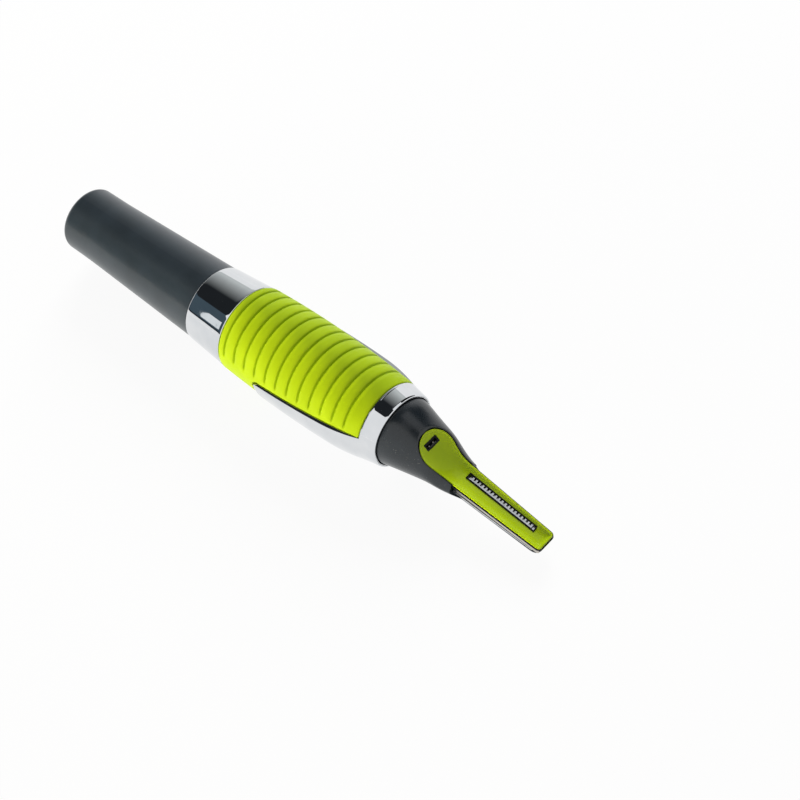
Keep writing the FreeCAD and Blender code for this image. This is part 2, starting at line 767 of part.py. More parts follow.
def make_negative_strip():
    """Strip along the tube from the plate in the cap to the switch board."""
    strip = body("negative_strip")
    low = TUBE_BORE
    rear = s.cap_floor + s.contact_sheet + s.free_gap
    side = rectangle(rear, low, X_TUBE_END + s.tab_length, low + s.contact_sheet)
    pad(strip, sketch(strip, "XZ_Plane", [side]), s.strip_width, both_ways=True)
    return strip


# Power switch.

BOARD_HEIGHT = s.board_drop - BARREL_BORE
LEAF_HEIGHT = BOARD_HEIGHT - s.contact_sheet - s.fit_gap


def make_slider():
    """Thumb slider in the panel, with a peg that reaches the switch board."""
    slider = body("power_slider")
    knob = s.slot_length - s.slider_travel - 2 * s.free_gap
    half = s.slot_width / 2 - s.free_gap
    face = s.slider_sink - REST_HEIGHT
    start = X_SLOT + s.free_gap
    root_height = -BARREL_RADIUS - s.free_gap
    pad(slider, sketch(slider, "XY_Plane", [rectangle(start, -half, start + knob, half)], face),
        root_height - face)
    rib = rectangle(start + 0.8, -half - 0.1, start + 1.2, half + 0.1)
    cut = pocket(slider, sketch(slider, "XY_Plane", [rib], face + 0.35), backwards=False)
    pattern = slider.newObject("PartDesign::LinearPattern", "Ribs")
    pattern.Originals = [cut]
    pattern.Direction = (origin(slider, "X_Axis"), [""])
    pattern.Length = 4.0
    pattern.Occurrences = 5
    slider.Tip = pattern
    doc.recompute()
    peg = rectangle(PEG_REAR, s.peg_width / -2, PEG_REAR + s.peg_length, s.peg_width / 2)
    pad(slider, sketch(slider, "XY_Plane", [peg], root_height), LEAF_HEIGHT - root_height)
    return slider


def make_slide_contact():
    """Spring contact under the slider's peg."""
    contact = body("slide_contact")
    leaf = rectangle(PEG_REAR - 0.4, -s.peg_width, PEG_REAR + s.peg_length + 0.4, s.peg_width)
    pad(contact, sketch(contact, "XY_Plane", [leaf], LEAF_HEIGHT), s.contact_sheet)
    return contact


def make_switch_board():
    board = body("switch_board")
    half = s.board_width / 2
    outline = rectangle(X_TUBE_END + 1, -half, X_MOTOR - s.free_gap, half)
    pad(board, sketch(board, "XY_Plane", [outline], BOARD_HEIGHT), s.board_sheet)
    return board


# Motor and crank.

def make_motor_can():
    can = body("motor_can")
    inner = s.motor_radius - s.motor_wall
    bearing = s.shaft_radius + 1.2
    revolve(can, [[
        (X_MOTOR, inner),
        (X_MOTOR, s.motor_radius),
        (X_MOTOR_END - 0.5, s.motor_radius),
        (X_MOTOR_END, s.motor_radius - 0.5),
        (X_MOTOR_END, bearing),
        (X_MOTOR_END + 0.8, bearing),
        (X_MOTOR_END + 0.8, s.shaft_radius + s.fit_gap / 2),
        (X_MOTOR_END - s.motor_wall, s.shaft_radius + s.fit_gap / 2),
        (X_MOTOR_END - s.motor_wall, inner),
    ]])
    return can


def make_motor_endcap():
    endcap = body("motor_endcap")
    inner = s.motor_radius - s.motor_wall - s.seat_gap
    revolve(endcap, [[
        (X_MOTOR - 1.2, s.shaft_radius + s.fit_gap / 2),
        (X_MOTOR - 1.2, inner - 1),
        (X_MOTOR, inner - 1),
        (X_MOTOR, inner),
        (X_MOTOR + 1.5, inner),
        (X_MOTOR + 1.5, s.shaft_radius + s.fit_gap / 2),
    ]])
    return endcap


def make_motor_magnets():
    """Two arc magnets on the inside of the can."""
    magnets = body("motor_magnets")
    outer = s.motor_radius - s.motor_wall - s.seat_gap
    revolve(magnets, [rectangle(X_MOTOR + 2.5, outer - 1, X_MOTOR_END - 2, outer)])
    gap = rectangle(X_MOTOR, -1.4, X_MOTOR_END, 1.4)
    pocket(magnets, sketch(magnets, "XY_Plane", [gap]), both_ways=True)
    return magnets


def make_armature():
    """Wound core on the shaft, with its commutator."""
    armature = body("armature")
    outer = s.motor_radius - s.motor_wall - 1 - s.free_gap
    inner = s.shaft_radius + s.seat_gap
    revolve(armature, [[
        (X_MOTOR + 2, inner),
        (X_MOTOR + 2, s.shaft_radius + 1),
        (X_MOTOR + 4, s.shaft_radius + 1),
        (X_MOTOR + 4, outer),
        (X_MOTOR_END - 2.5, outer),
        (X_MOTOR_END - 2.5, inner),
    ]])
    return armature


CRANK_SKIN = s.crank_disc / 5
CRANK_RADIUS = SCREW_CIRCLE - s.screw_head - s.free_gap


def make_motor_shaft():
    shaft = body("motor_shaft")
    end = X_CRANK_FACE - CRANK_SKIN - s.seat_gap
    revolve(shaft, [rectangle(X_MOTOR - 1, 0, end, s.shaft_radius)])
    return shaft


def make_crank():
    """Disc on the shaft with the pin that rocks the lever."""
    crank = body("crank")
    bore = s.shaft_radius + s.seat_gap
    face = X_CRANK_FACE
    revolve(crank, [[
        (X_CRANK, bore),
        (X_CRANK, CRANK_RADIUS),
        (face, CRANK_RADIUS),
        (face, 0),
        (face - CRANK_SKIN, 0),
        (face - CRANK_SKIN, bore),
    ]])
    root = face - CRANK_SKIN / 2
    pin = circle_sketch(crank, "YZ_Plane", [(0, s.crank_throw, s.crank_pin_radius)], root)
    pad(crank, pin, X_FORK + s.pin_reach - root)
    return crank


def make_motor_cradle():
    cradle = body("motor_cradle")
    outer = BARREL_BORE - s.fit_gap
    inner = s.motor_radius + s.seat_gap
    revolve(cradle, [[
        (X_MOTOR + 3, inner),
        (X_MOTOR + 3, outer),
        (X_MOTOR_END + s.cradle_wall, outer),
        (X_MOTOR_END + s.cradle_wall, s.shaft_radius + 1.5),
        (X_MOTOR_END, s.shaft_radius + 1.5),
        (X_MOTOR_END, inner),
    ]])
    hole = s.screw_radius + s.seat_gap * 2
    screws = circle_sketch(cradle, "YZ_Plane", screw_circles(hole), X_MOTOR_END - 1)
    pocket(cradle, screws, 4, backwards=True)
    return cradle


def screw_circles(radius):
    return [(-SCREW_CIRCLE, 0, radius), (SCREW_CIRCLE, 0, radius)]


def make_motor_screws():
    """Two pan-head screws through the cradle's wall into the motor."""
    screws = body("motor_screws")
    face = X_MOTOR_END + s.cradle_wall
    shanks = circle_sketch(screws, "YZ_Plane", screw_circles(s.screw_radius), X_MOTOR_END)
    pad(screws, shanks, s.cradle_wall)
    heads = circle_sketch(screws, "YZ_Plane", screw_circles(s.screw_head), face)
    pad(screws, heads, s.screw_head_height)
    return screws


# Head: nozzle, insert and blades.

NECK_X = (X_KNEE + X_BAR) / 2
NECK_HEIGHT = (s.knee_height + s.bar_height) / 2 - s.knee_hollow
WIDE_X = X_SCOOP + s.spoon_reach
SHOULDER_X = (WIDE_X + X_KNEE) / 2
SCOOP_SLOPE = (s.scoop_height - s.knee_height) / (X_KNEE - X_SCOOP)
GUIDE_TOP = s.insert_depth
PLATE_TOP = GUIDE_TOP + s.guide_depth
PLATE_BACK = PLATE_TOP + s.plate_sheet
COMB_END = X_TIP - s.comb_end
COMB_LOW = s.comb_offset - s.comb_slot_width / 2
COMB_HIGH = s.comb_offset + s.comb_slot_width / 2
COMB_BASE = COMB_LOW + s.comb_inset
COMB_ROOT = COMB_BASE + s.comb_spine
LEVER_TOP = PLATE_TOP + s.seat_gap * 3
LEVER_BACK = LEVER_TOP + s.lever_sheet
NOZZLE_END = X_HEAD + s.nozzle_length
SKIRT_RADIUS = NOSE_BORE - s.free_gap
X_CHANNEL = X_COMB - s.channel_setback


def steep_height(x):
    """Height of the scoop's steep rear line at x."""
    return s.scoop_height - (x - X_SCOOP) * SCOOP_SLOPE


def rim_line(drop):
    """The insert's side view from the tip back to its rear end, below its rim."""
    front = X_TIP + 2
    rear = X_SCOOP - 2
    return [
        (front, rim_height(front, drop)),
        (X_BAR, rim_height(X_BAR, drop), NECK_X, NECK_HEIGHT - drop),
        (X_KNEE, s.knee_height - drop),
        (rear, steep_height(rear) - drop),
    ]


def above_rim(drop):
    """Side view of everything above a line that follows the rim."""
    return rim_line(drop) + [(X_SCOOP - 2, FAR), (X_TIP + 2, FAR)]


def insert_plan(margin, end=X_TIP):
    """Spoon-shaped outline of the insert seen from above, grown by a margin."""
    waist = s.insert_waist + margin
    neck = s.insert_neck + margin
    shoulder = s.insert_shoulder + margin
    wide = s.spoon_width + margin
    tip = s.insert_tip + margin
    corner = s.tip_corner + margin
    front = end - s.tip_bow + margin
    bend = corner * 0.2929
    rear_x = X_SCOOP + 0.86 - margin * 0.8
    return [
        (X_SCOOP - margin, 0, rear_x, wide * 0.72),
        (WIDE_X, wide, SHOULDER_X, (wide + shoulder) / 2 + s.shoulder_crown),
        (X_KNEE, shoulder, NECK_X, neck),
        (X_BAR, waist),
        (front - corner, tip, front - bend, tip - bend),
        (front, tip - corner, front + s.tip_bow, 0),
        (front, corner - tip, front - bend, bend - tip),
        (front - corner, -tip),
        (X_BAR, -waist, NECK_X, -neck),
        (X_KNEE, -shoulder, SHOULDER_X, (wide + shoulder) / -2 - s.shoulder_crown),
        (WIDE_X, -wide, rear_x, wide * -0.72),
    ]


def nozzle_width(x):
    share = (x - X_HEAD) / s.nozzle_length
    return NOZZLE_RADIUS + (s.bar_half_width - NOZZLE_RADIUS) * share


def nozzle_bottom(x):
    share = (x - X_HEAD) / s.nozzle_length
    end = rim_height(NOZZLE_END, s.bar_rear_depth)
    bulge = share * (1 - share) * 4
    return (end + NOZZLE_RADIUS) * share - NOZZLE_RADIUS + s.nozzle_hollow * bulge


def top_beside(x, edge, height):
    """Top of the oval at x that passes a ledge beside the insert's edge at its rim."""
    reach = (edge + s.nozzle_ledge) / nozzle_width(x)
    rise = square_root(1 - reach * reach)
    return (height * 2 - nozzle_bottom(x) * (1 - rise)) / (1 + rise)


def nozzle_stations():
    """Stations from the front ring to the bar, each with the top of its oval."""
    halfway = (X_HEAD + X_SCOOP) / 2
    taper = (NOZZLE_END - X_BAR) / (X_TIP - X_BAR)
    end_edge = s.insert_waist - (s.insert_waist - s.insert_tip) * taper
    return [
        (X_HEAD, NOZZLE_RADIUS),
        (halfway, NOZZLE_RADIUS - s.nozzle_drop),
        (X_SCOOP, s.scoop_height + s.nozzle_brow),
        (WIDE_X, top_beside(WIDE_X, s.spoon_width, steep_height(WIDE_X))),
        (NECK_X, top_beside(NECK_X, s.insert_neck, NECK_HEIGHT)),
        (X_BAR, top_beside(X_BAR, s.insert_waist, s.bar_height)),
        (NOZZLE_END, top_beside(NOZZLE_END, end_edge, rim_height(NOZZLE_END))),
    ]


def nozzle_sections(owner, inset, last):
    """Ovals along the nozzle up to a station, each inset by a wall."""
    sections = []
    for x, top in nozzle_stations()[:last]:
        outline = oval(nozzle_width(x) - inset, top - inset, nozzle_bottom(x) + inset, 0.70711)
        sections.append(sketch(owner, "YZ_Plane", [outline], x))
    return sections


def boolean(kind, label, base, tool):
    item = doc.addObject(kind, label)
    item.Base = base
    item.Tool = tool
    item.Label = label
    doc.recompute()
    return item


def make_nozzle_blank():
    """Skirt, cone and bar before they are hollowed."""
    blank = body("nozzle_blank")
    revolve(blank, [rectangle(X_FRONT + 1, 0, X_HEAD, SKIRT_RADIUS)])
    loft(blank, nozzle_sections(blank, as_size(0), 7))
    bars = []
    for x, width, depth in ((X_PLATE - 2, s.plate_rear_width, s.bar_rear_depth),
                            (X_PLATE_END, s.plate_front_width, s.bar_tip_depth)):
        top = rim_height(x, PLATE_BACK)
        side = top - 0.45
        bottom = rim_height(x, depth)
        outline = [
            (-width, side),
            (-s.bar_keel, bottom),
            (s.bar_keel, bottom),
            (width, side),
            (width, top),
            (-width, top),
        ]
        bars.append(sketch(blank, "YZ_Plane", [outline], x))
    loft(blank, bars)
    pocket(blank, sketch(blank, "XZ_Plane", [above_rim(-0.05)]), both_ways=True)
    seat = [
        (X_PLATE - s.free_gap / 2, rim_height(X_PLATE, PLATE_BACK + 0.06)),
        (X_TIP, rim_height(X_TIP, PLATE_BACK + 0.06)),
        (X_TIP, FAR),
        (X_PLATE - s.free_gap / 2, FAR),
    ]
    pocket(blank, sketch(blank, "XZ_Plane", [seat]), both_ways=True)
    corner = s.plate_rounding
    width = s.plate_front_width
    side = [
        (X_HEAD - 9, -FAR),
        (X_PLATE_END - corner, -FAR),
        (X_PLATE_END - corner, -width, X_PLATE_END - corner * 0.293, corner * 0.293 - width),
        (X_PLATE_END, corner - width),
        (X_PLATE_END, width - corner, X_PLATE_END - corner * 0.293, width - corner * 0.293),
        (X_PLATE_END - corner, width),
        (X_PLATE_END - corner, FAR),
        (X_HEAD - 9, FAR),
    ]
    pocket(blank, sketch(blank, "XY_Plane", [
        rectangle(X_HEAD - 10, -FAR - 1, X_TIP + 10, FAR + 1), side]), both_ways=True)
    low = rim_height(COMB_END + 0.3, PLATE_BACK + 0.8)
    trough = [
        (X_COMB - 0.3, rim_height(X_COMB - 0.3, PLATE_BACK + 0.8)),
        (COMB_END + 0.3, low),
        (COMB_END + 0.3, low + 3),
        (X_COMB - 0.3, low + 3 + (COMB_END - X_COMB) * slope_of(s.head_lean)),
    ]
    pocket(blank, sketch(blank, "XZ_Plane", [trough], -s.comb_offset),
           s.comb_slot_width + 0.4, both_ways=True)
    return blank


def make_seat_tool():
    """Space of the insert, cut down to its seat."""
    tool = doc.addObject("PartDesign::Body", "seat_tool")
    place(tool)
    plan = sketch(tool, "XY_Plane", [insert_plan(as_size(0.1))])
    pad(tool, plan, FAR * 2, both_ways=True)
    below = rim_line(s.insert_depth + 0.03) + [(X_SCOOP - 2, -FAR), (X_TIP + 2, -FAR)]
    pocket(tool, sketch(tool, "XZ_Plane", [below]), both_ways=True)
    return tool


def make_cavity_tool():
    """Hollow of the nozzle, under the floor that carries the insert."""
    tool = doc.addObject("PartDesign::Body", "cavity_tool")
    place(tool)
    loft(tool, nozzle_sections(tool, s.nozzle_wall, 6))
    revolve(tool, [rectangle(X_FRONT, 0, X_HEAD + 0.4, SKIRT_RADIUS - s.nozzle_wall)])
    pocket(tool, sketch(tool, "XZ_Plane", [above_rim(s.insert_depth + 0.6)]), both_ways=True)
    return tool


def make_passage_tool():
    """Way of the blade's tang out of the hollow, and the shaft of the lamp."""
    tool = doc.addObject("PartDesign::Body", "passage_tool")
    place(tool)
    rear = X_KNEE
    front = X_PLATE + 1
    top = s.insert_depth - 0.1
    side = [
        (rear, rim_height(rear, PLATE_TOP + 0.1)),
        (front, rim_height(front, PLATE_TOP + 0.1)),
        (front, rim_height(front, top)),
        (rear, rim_height(rear, top)),
    ]
    pad(tool, sketch(tool, "XZ_Plane", [side]), 3.6, both_ways=True)
    return tool


def make_lamp_shaft():
    """Shaft through the seat for the lamp and its frame."""
    tool = doc.addObject("PartDesign::Body", "lamp_shaft")
    place(tool)
    half = s.led_width / 2 + 0.1
    shaft = rectangle(LAMP_REAR - 0.1, -half, LAMP_FRONT + 0.1, half)
    pad(tool, sketch(tool, "XY_Plane", [shaft], 0.2), 8)
    return tool


def make_pivot_boss():
    """Boss on the nozzle's floor that holds the pivot pin."""
    boss = doc.addObject("PartDesign::Body", "pivot_boss")
    lean(boss)
    bore = s.pivot_radius + s.seat_gap
    rings = [(PIVOT_ALONG, 0, s.pivot_radius + s.boss_wall), (PIVOT_ALONG, 0, bore)]
    top = -LEVER_BACK - 0.1
    profile = circle_sketch(boss, "XY_Plane", rings, -s.pivot_reach)
    pad(boss, profile, top + s.pivot_reach)
    return boss


def make_nozzle():
    shape = make_nozzle_blank()
    for tool in (make_seat_tool(), make_cavity_tool(), make_passage_tool(), make_lamp_shaft()):
        shape = boolean("Part::Cut", "nozzle_less_" + tool.Label, shape, tool)
    return boolean("Part::Fuse", "nozzle", shape, make_pivot_boss())


def hollow_section(owner, x, half_width, height, depth):
    """Section of the insert's hollow: an arc below the rim, open upwards."""
    outline = [(half_width, height, 0, height - depth), (-half_width, height),
               (-half_width, height + 4), (half_width, height + 4)]
    return sketch(owner, "YZ_Plane", [outline], x)


def make_insert_blank():
    """Spoon-shaped block between the rim and the seat, with its two openings."""
    blank = body("insert_blank")
    band = rim_line(as_size(0)) + underside(s.insert_depth)
    pad(blank, sketch(blank, "XZ_Plane", [band]), FAR, both_ways=True)
    frame = rectangle(X_SCOOP - 9, -FAR, X_TIP + 9, FAR)
    pocket(blank, sketch(blank, "XY_Plane", [frame, insert_plan(as_size(0))]), both_ways=True)
    slot = rectangle(X_COMB, COMB_LOW, COMB_END, COMB_HIGH)
    pocket(blank, sketch(blank, "XY_Plane", [slot]), both_ways=True)
    half = s.led_width / 2
    window = rectangle(LAMP_REAR, -half, LAMP_FRONT, half)
    pocket(blank, sketch(blank, "XY_Plane", [window]), both_ways=True)
    return blank


def make_hollow_tool(label, stations):
    """Concave hollow through sections, kept inside the insert's raised rim."""
    tool = body(label)
    loft(tool, [hollow_section(tool, *station) for station in stations])
    frame = rectangle(X_SCOOP - 9, -FAR, X_TIP + 9, FAR)
    inside = insert_plan(-s.rim_width, X_TIP - s.tip_rim + s.rim_width)
    pocket(tool, sketch(tool, "XY_Plane", [frame, inside]), both_ways=True)
    return tool


def make_head_insert():
    """Spoon-shaped insert with its hollow, comb slot and lamp window."""
    start = X_SCOOP + s.rim_width / 2
    waist = s.insert_waist + s.scoop_flare
    spoon = make_hollow_tool("scoop_tool", [
        (start, s.spoon_width + s.scoop_flare, steep_height(start), s.scoop_depth * 0.7),
        (WIDE_X, s.spoon_width + s.scoop_flare, steep_height(WIDE_X), s.scoop_depth),
        (NECK_X, s.insert_neck + s.scoop_flare, NECK_HEIGHT, s.scoop_depth),
        (X_CHANNEL, waist, rim_height(X_CHANNEL), s.channel_depth),
    ])
    channel = make_hollow_tool("channel_tool", [
        (X_CHANNEL, waist, rim_height(X_CHANNEL), s.channel_depth),
        (X_TIP, s.insert_tip + s.scoop_flare, rim_height(X_TIP), s.channel_depth),
    ])
    shape = boolean("Part::Cut", "insert_less_scoop", make_insert_blank(), spoon)
    return boolean("Part::Cut", "head_insert", shape, channel)


def underside(drop):
    """The insert's seat line, walked from its rear end to the tip."""
    front = X_TIP + 2
    rear = X_SCOOP - 2
    return [
        (rear, steep_height(rear) - drop),
        (X_KNEE, s.knee_height - drop, NECK_X, NECK_HEIGHT - drop),
        (X_BAR, rim_height(X_BAR, drop)),
        (front, rim_height(front, drop)),
    ]


def steep_band(high, low, rear, front):
    """Side view of a block between two lines below the scoop's steep rim."""
    return [
        (rear, steep_height(rear) - low),
        (front, steep_height(front) - low),
        (front, steep_height(front) - high),
        (rear, steep_height(rear) - high),
    ]


def make_lamp_frame():
    frame = body("lamp_frame")
    rear = LAMP_REAR + s.seat_gap
    front = LAMP_FRONT - s.seat_gap
    half = s.led_width / 2 - s.seat_gap
    profile = sketch(frame, "XZ_Plane", [steep_band(0.8, 1.5, rear, front)])
    pad(frame, profile, half * 2, both_ways=True)
    hole = rectangle(rear + s.led_frame * 0.7, -half + s.led_frame,
                     front - s.led_frame * 0.7, half - s.led_frame)
    pocket(frame, sketch(frame, "XY_Plane", [hole]), both_ways=True)
    return frame


def make_lamp():
    """Clear lamp behind the window."""
    lamp = body("lamp")
    rear = LAMP_REAR + s.led_frame * 0.7 + s.seat_gap * 2
    front = LAMP_FRONT - s.led_frame * 0.7 - s.seat_gap * 2
    half = s.led_width / 2 - s.led_frame - s.seat_gap * 2
    pad(lamp, sketch(lamp, "XZ_Plane", [steep_band(0.95, 3.1, rear, front)]), half * 2,
        both_ways=True)
    return lamp


def make_lamp_leads():
    """Two leads from the lamp back to the contact ring on the motor cradle."""
    leads = body("lamp_leads")
    rear = X_MOTOR_END + s.cradle_wall + s.ring_sheet + s.fit_gap
    front = LAMP_REAR + s.led_frame * 0.7
    low = steep_height(LAMP_FRONT) - 1.3
    thick = s.lead_radius * 2
    side = [
        (rear, LEAD_HEIGHT - thick),
        (front, low - thick),
        (front, low),
        (rear, LEAD_HEIGHT),
    ]
    for offset in (-s.lead_spread, s.lead_spread):
        pad(leads, sketch(leads, "XZ_Plane", [side], offset), thick, both_ways=True)
    return leads


def make_lamp_contacts():
    """Contact ring on the motor cradle, which the head's leads touch as it turns."""
    ring = body("lamp_contacts")
    rear = X_MOTOR_END + s.cradle_wall
    outer = CONTACT_BORE + s.ring_width
    revolve(ring, [rectangle(rear, CONTACT_BORE, rear + s.ring_sheet, outer)])
    return ring


def tapered(owner, start, end, start_width, end_width, level, height, corner):
    """A flat bar in the leaning frame, tapering forwards to rounded corners."""
    outline = [
        (start, start_width),
        (end - corner, end_width, end - corner * 0.293, end_width - corner * 0.293),
        (end, end_width - corner),
        (end, corner - end_width, end - corner * 0.293, corner * 0.293 - end_width),
        (end - corner, -end_width),
        (start, -start_width),
    ]
    return pad(owner, sketch(owner, "XY_Plane", [outline], level), height)


def leaning_body(label):
    item = doc.addObject("PartDesign::Body", label)
    item.Label = label
    lean(item)
    return item


def make_blade_guide():
    """Frame between insert and plate in which the moving blade slides."""
    guide = leaning_body("blade_guide")
    inset = s.guide_inset
    tapered(guide, PLATE_ALONG, PLATE_ALONG_END, s.plate_rear_width - inset,
            s.plate_front_width - inset, -PLATE_TOP, s.guide_depth, s.plate_rounding - inset)
    channel = rectangle(PLATE_ALONG - 1, -s.tang_half - s.fit_gap, COMB_ALONG_END + 0.6,
                        COMB_HIGH + 0.3)
    pocket(guide, sketch(guide, "XY_Plane", [channel], -PLATE_TOP), both_ways=True)
    return guide


def make_fixed_blade():
    """Steel plate with comb teeth that point against the moving blade's."""
    plate = leaning_body("fixed_blade")
    tapered(plate, PLATE_ALONG, PLATE_ALONG_END, s.plate_rear_width, s.plate_front_width,
            -PLATE_BACK, s.plate_sheet, s.plate_rounding)
    window = rectangle(COMB_ALONG + 0.2, COMB_LOW - 0.15, COMB_ALONG_END - 0.2,
                       COMB_ROOT - 0.1)
    pocket(plate, sketch(plate, "XY_Plane", [window], -PLATE_BACK), both_ways=True)
    cut_teeth(plate, COMB_ROOT - 0.2, COMB_HIGH, -PLATE_BACK)
    return plate


def cut_teeth(owner, low, high, level):
    """A row of tooth gaps along the comb."""
    start = COMB_ALONG + s.tooth_margin
    gap = rectangle(start, low, start + s.tooth_gap, high)
    first = pocket(owner, sketch(owner, "XY_Plane", [gap], level), both_ways=True)
    row = owner.newObject("PartDesign::LinearPattern", "Teeth")
    row.Originals = [first]
    row.Direction = (origin(owner, "X_Axis"), [""])
    room = COMB_ALONG_END - COMB_ALONG - s.tooth_margin * 2 - s.tooth_gap + s.tooth_pitch / 2
    count = whole(room / s.tooth_pitch) + 1
    bind(row, "Length", s.tooth_pitch * (count - 1))
    bind(row, "Occurrences", count)
    owner.Tip = row
    doc.recompute()


def make_moving_blade():
    """Comb blade with the tang that the lever drives."""
    blade = leaning_body("moving_blade")
    level = -PLATE_TOP + 0.05
    sheet_height = s.blade_sheet
    start = COMB_ALONG + s.blade_margin
    comb = rectangle(start, COMB_BASE, COMB_ALONG_END - s.blade_margin, COMB_HIGH + 0.1)
    pad(blade, sketch(blade, "XY_Plane", [comb], level), sheet_height)
    cut_teeth(blade, COMB_ROOT, COMB_HIGH + 0.4, level)
    spine = rectangle(COMB_ALONG - 1, COMB_BASE, start + 0.2, COMB_ROOT)
    pad(blade, sketch(blade, "XY_Plane", [spine], level), sheet_height)
    tang = rectangle(TANG_END, -s.tang_half, COMB_ALONG - s.blade_margin, s.tang_half)
    pad(blade, sketch(blade, "XY_Plane", [tang], level), sheet_height)
    eye_y = -s.lever_arm
    arm = [
        (PIVOT_ALONG - 0.4, eye_y + 0.8),
        (PIVOT_ALONG + 0.3, eye_y - 0.8),
        (TANG_END + 0.6, -s.tang_half),
        (TANG_END + 0.6, 0.9),
    ]
    pad(blade, sketch(blade, "XY_Plane", [arm], level), sheet_height)
    eye = circle_sketch(blade, "XY_Plane", [(PIVOT_ALONG, eye_y, as_size(0.95))], level)
    pad(blade, eye, sheet_height)
    hole = s.drive_pin_radius + s.fit_gap
    pocket(blade, sketch(blade, "XY_Plane", [rectangle(
        PIVOT_ALONG - hole, eye_y - hole - 0.05, PIVOT_ALONG + hole, eye_y + hole + 0.05)],
        level), both_ways=True)
    return blade


def make_rocker_lever():
    """Bell crank: a fork round the crank pin and a pin in the blade's tang."""
    lever = leaning_body("rocker_lever")
    level = -LEVER_BACK
    thick = s.lever_sheet
    fork = along(X_FORK + s.fork_setback, LEVER_TOP)
    bridge = fork + s.fork_depth
    inner = s.crank_throw + s.crank_pin_radius + s.fork_play
    outer = inner + s.fork_sheet
    middle = X_FORK + s.fork_setback + s.fork_sheet
    axis_level = (middle - X_BAR) * sine(s.head_lean) - s.bar_height * cosine(s.head_lean)
    bottom = axis_level - s.fork_height / 2
    half = s.lever_width / 2
    stem = rectangle(bridge, -half, PIVOT_ALONG, half)
    pad(lever, sketch(lever, "XY_Plane", [stem], level), thick)
    hub = circle_sketch(lever, "XY_Plane", [(PIVOT_ALONG, 0, s.lever_hub)], level)
    pad(lever, hub, thick)
    half = s.lever_eye - 0.2
    arm = rectangle(PIVOT_ALONG - half, -s.lever_arm, PIVOT_ALONG + half, 0)
    pad(lever, sketch(lever, "XY_Plane", [arm], level), thick)
    eye = circle_sketch(lever, "XY_Plane", [(PIVOT_ALONG, -s.lever_arm, s.lever_eye)], level)
    pad(lever, eye, thick)
    pin = circle_sketch(lever, "XY_Plane",
                        [(PIVOT_ALONG, -s.lever_arm, s.drive_pin_radius)], level)
    pad(lever, pin, thick + LEVER_TOP - PLATE_TOP + s.blade_sheet + 0.16)
    cross = rectangle(bridge, -outer, bridge + s.fork_sheet, outer)
    pad(lever, sketch(lever, "XY_Plane", [cross], bottom), s.fork_height)
    overlap = bridge + s.fork_sheet / 2
    for cheek in (rectangle(fork, inner, overlap, outer),
                  rectangle(fork, -outer, overlap, -inner)):
        pad(lever, sketch(lever, "XY_Plane", [cheek], bottom), s.fork_height)
    bore = s.pivot_radius + s.fit_gap / 2
    hole = circle_sketch(lever, "XY_Plane", [(PIVOT_ALONG, 0, bore)], level)
    pocket(lever, hole, both_ways=True)
    return lever


def make_pivot_pin():
    """Headed pin on which the lever rocks."""
    pin = leaning_body("pivot_pin")
    foot = -s.pivot_reach + 1.2
    head = -LEVER_TOP + s.fit_gap
    pad(pin, circle_sketch(pin, "XY_Plane", [(PIVOT_ALONG, 0, s.pivot_radius)], foot),
        head + 0.2 - foot)
    cap = circle_sketch(pin, "XY_Plane", [(PIVOT_ALONG, 0, s.pin_head)], head)
    pad(pin, cap, s.pin_head_height)
    return pin


LAMP_REAR = X_SCOOP + 0.95
LAMP_FRONT = LAMP_REAR + s.led_height * 0.75
PLATE_ALONG = along(X_PLATE + 0.1, PLATE_TOP)
PLATE_ALONG_END = along(X_PLATE_END - 0.2, PLATE_TOP)
COMB_ALONG = along(X_COMB, PLATE_TOP)
COMB_ALONG_END = along(COMB_END, PLATE_TOP)
TANG_END = along(NECK_X, PLATE_TOP)
PIVOT_ALONG = along(X_PIVOT, LEVER_TOP)

MAKERS = (
    make_tail_cap, make_spring_plate, make_battery_spring, make_cap_seal, make_rear_ring,
    make_grip, make_bezel, make_barrel, make_battery_cell, make_battery_tube,
    make_positive_contact, make_negative_strip, make_slider, make_slide_contact,
    make_switch_board, make_motor_can, make_motor_endcap, make_motor_magnets, make_motor_cradle,
    make_motor_screws, make_armature, make_motor_shaft, make_crank, make_nozzle,
    make_head_insert, make_blade_guide, make_fixed_blade, make_moving_blade, make_rocker_lever,
    make_pivot_pin, make_lamp, make_lamp_frame, make_lamp_leads, make_lamp_contacts,
)

nodes = [make() for make in MAKERS]
doc.recompute()
for item in doc.Objects:
    if "Invalid" in item.State or "Error" in item.State:
        raise RuntimeError(f"{item.Label} does not compute")
os.makedirs("parts", exist_ok=True)
for item in nodes:
    if item.Shape.isNull() or not item.Shape.isValid():
        raise RuntimeError(f"{item.Label} has no valid shape")
    item.Shape.exportStep(f"parts/{item.Label}.step")
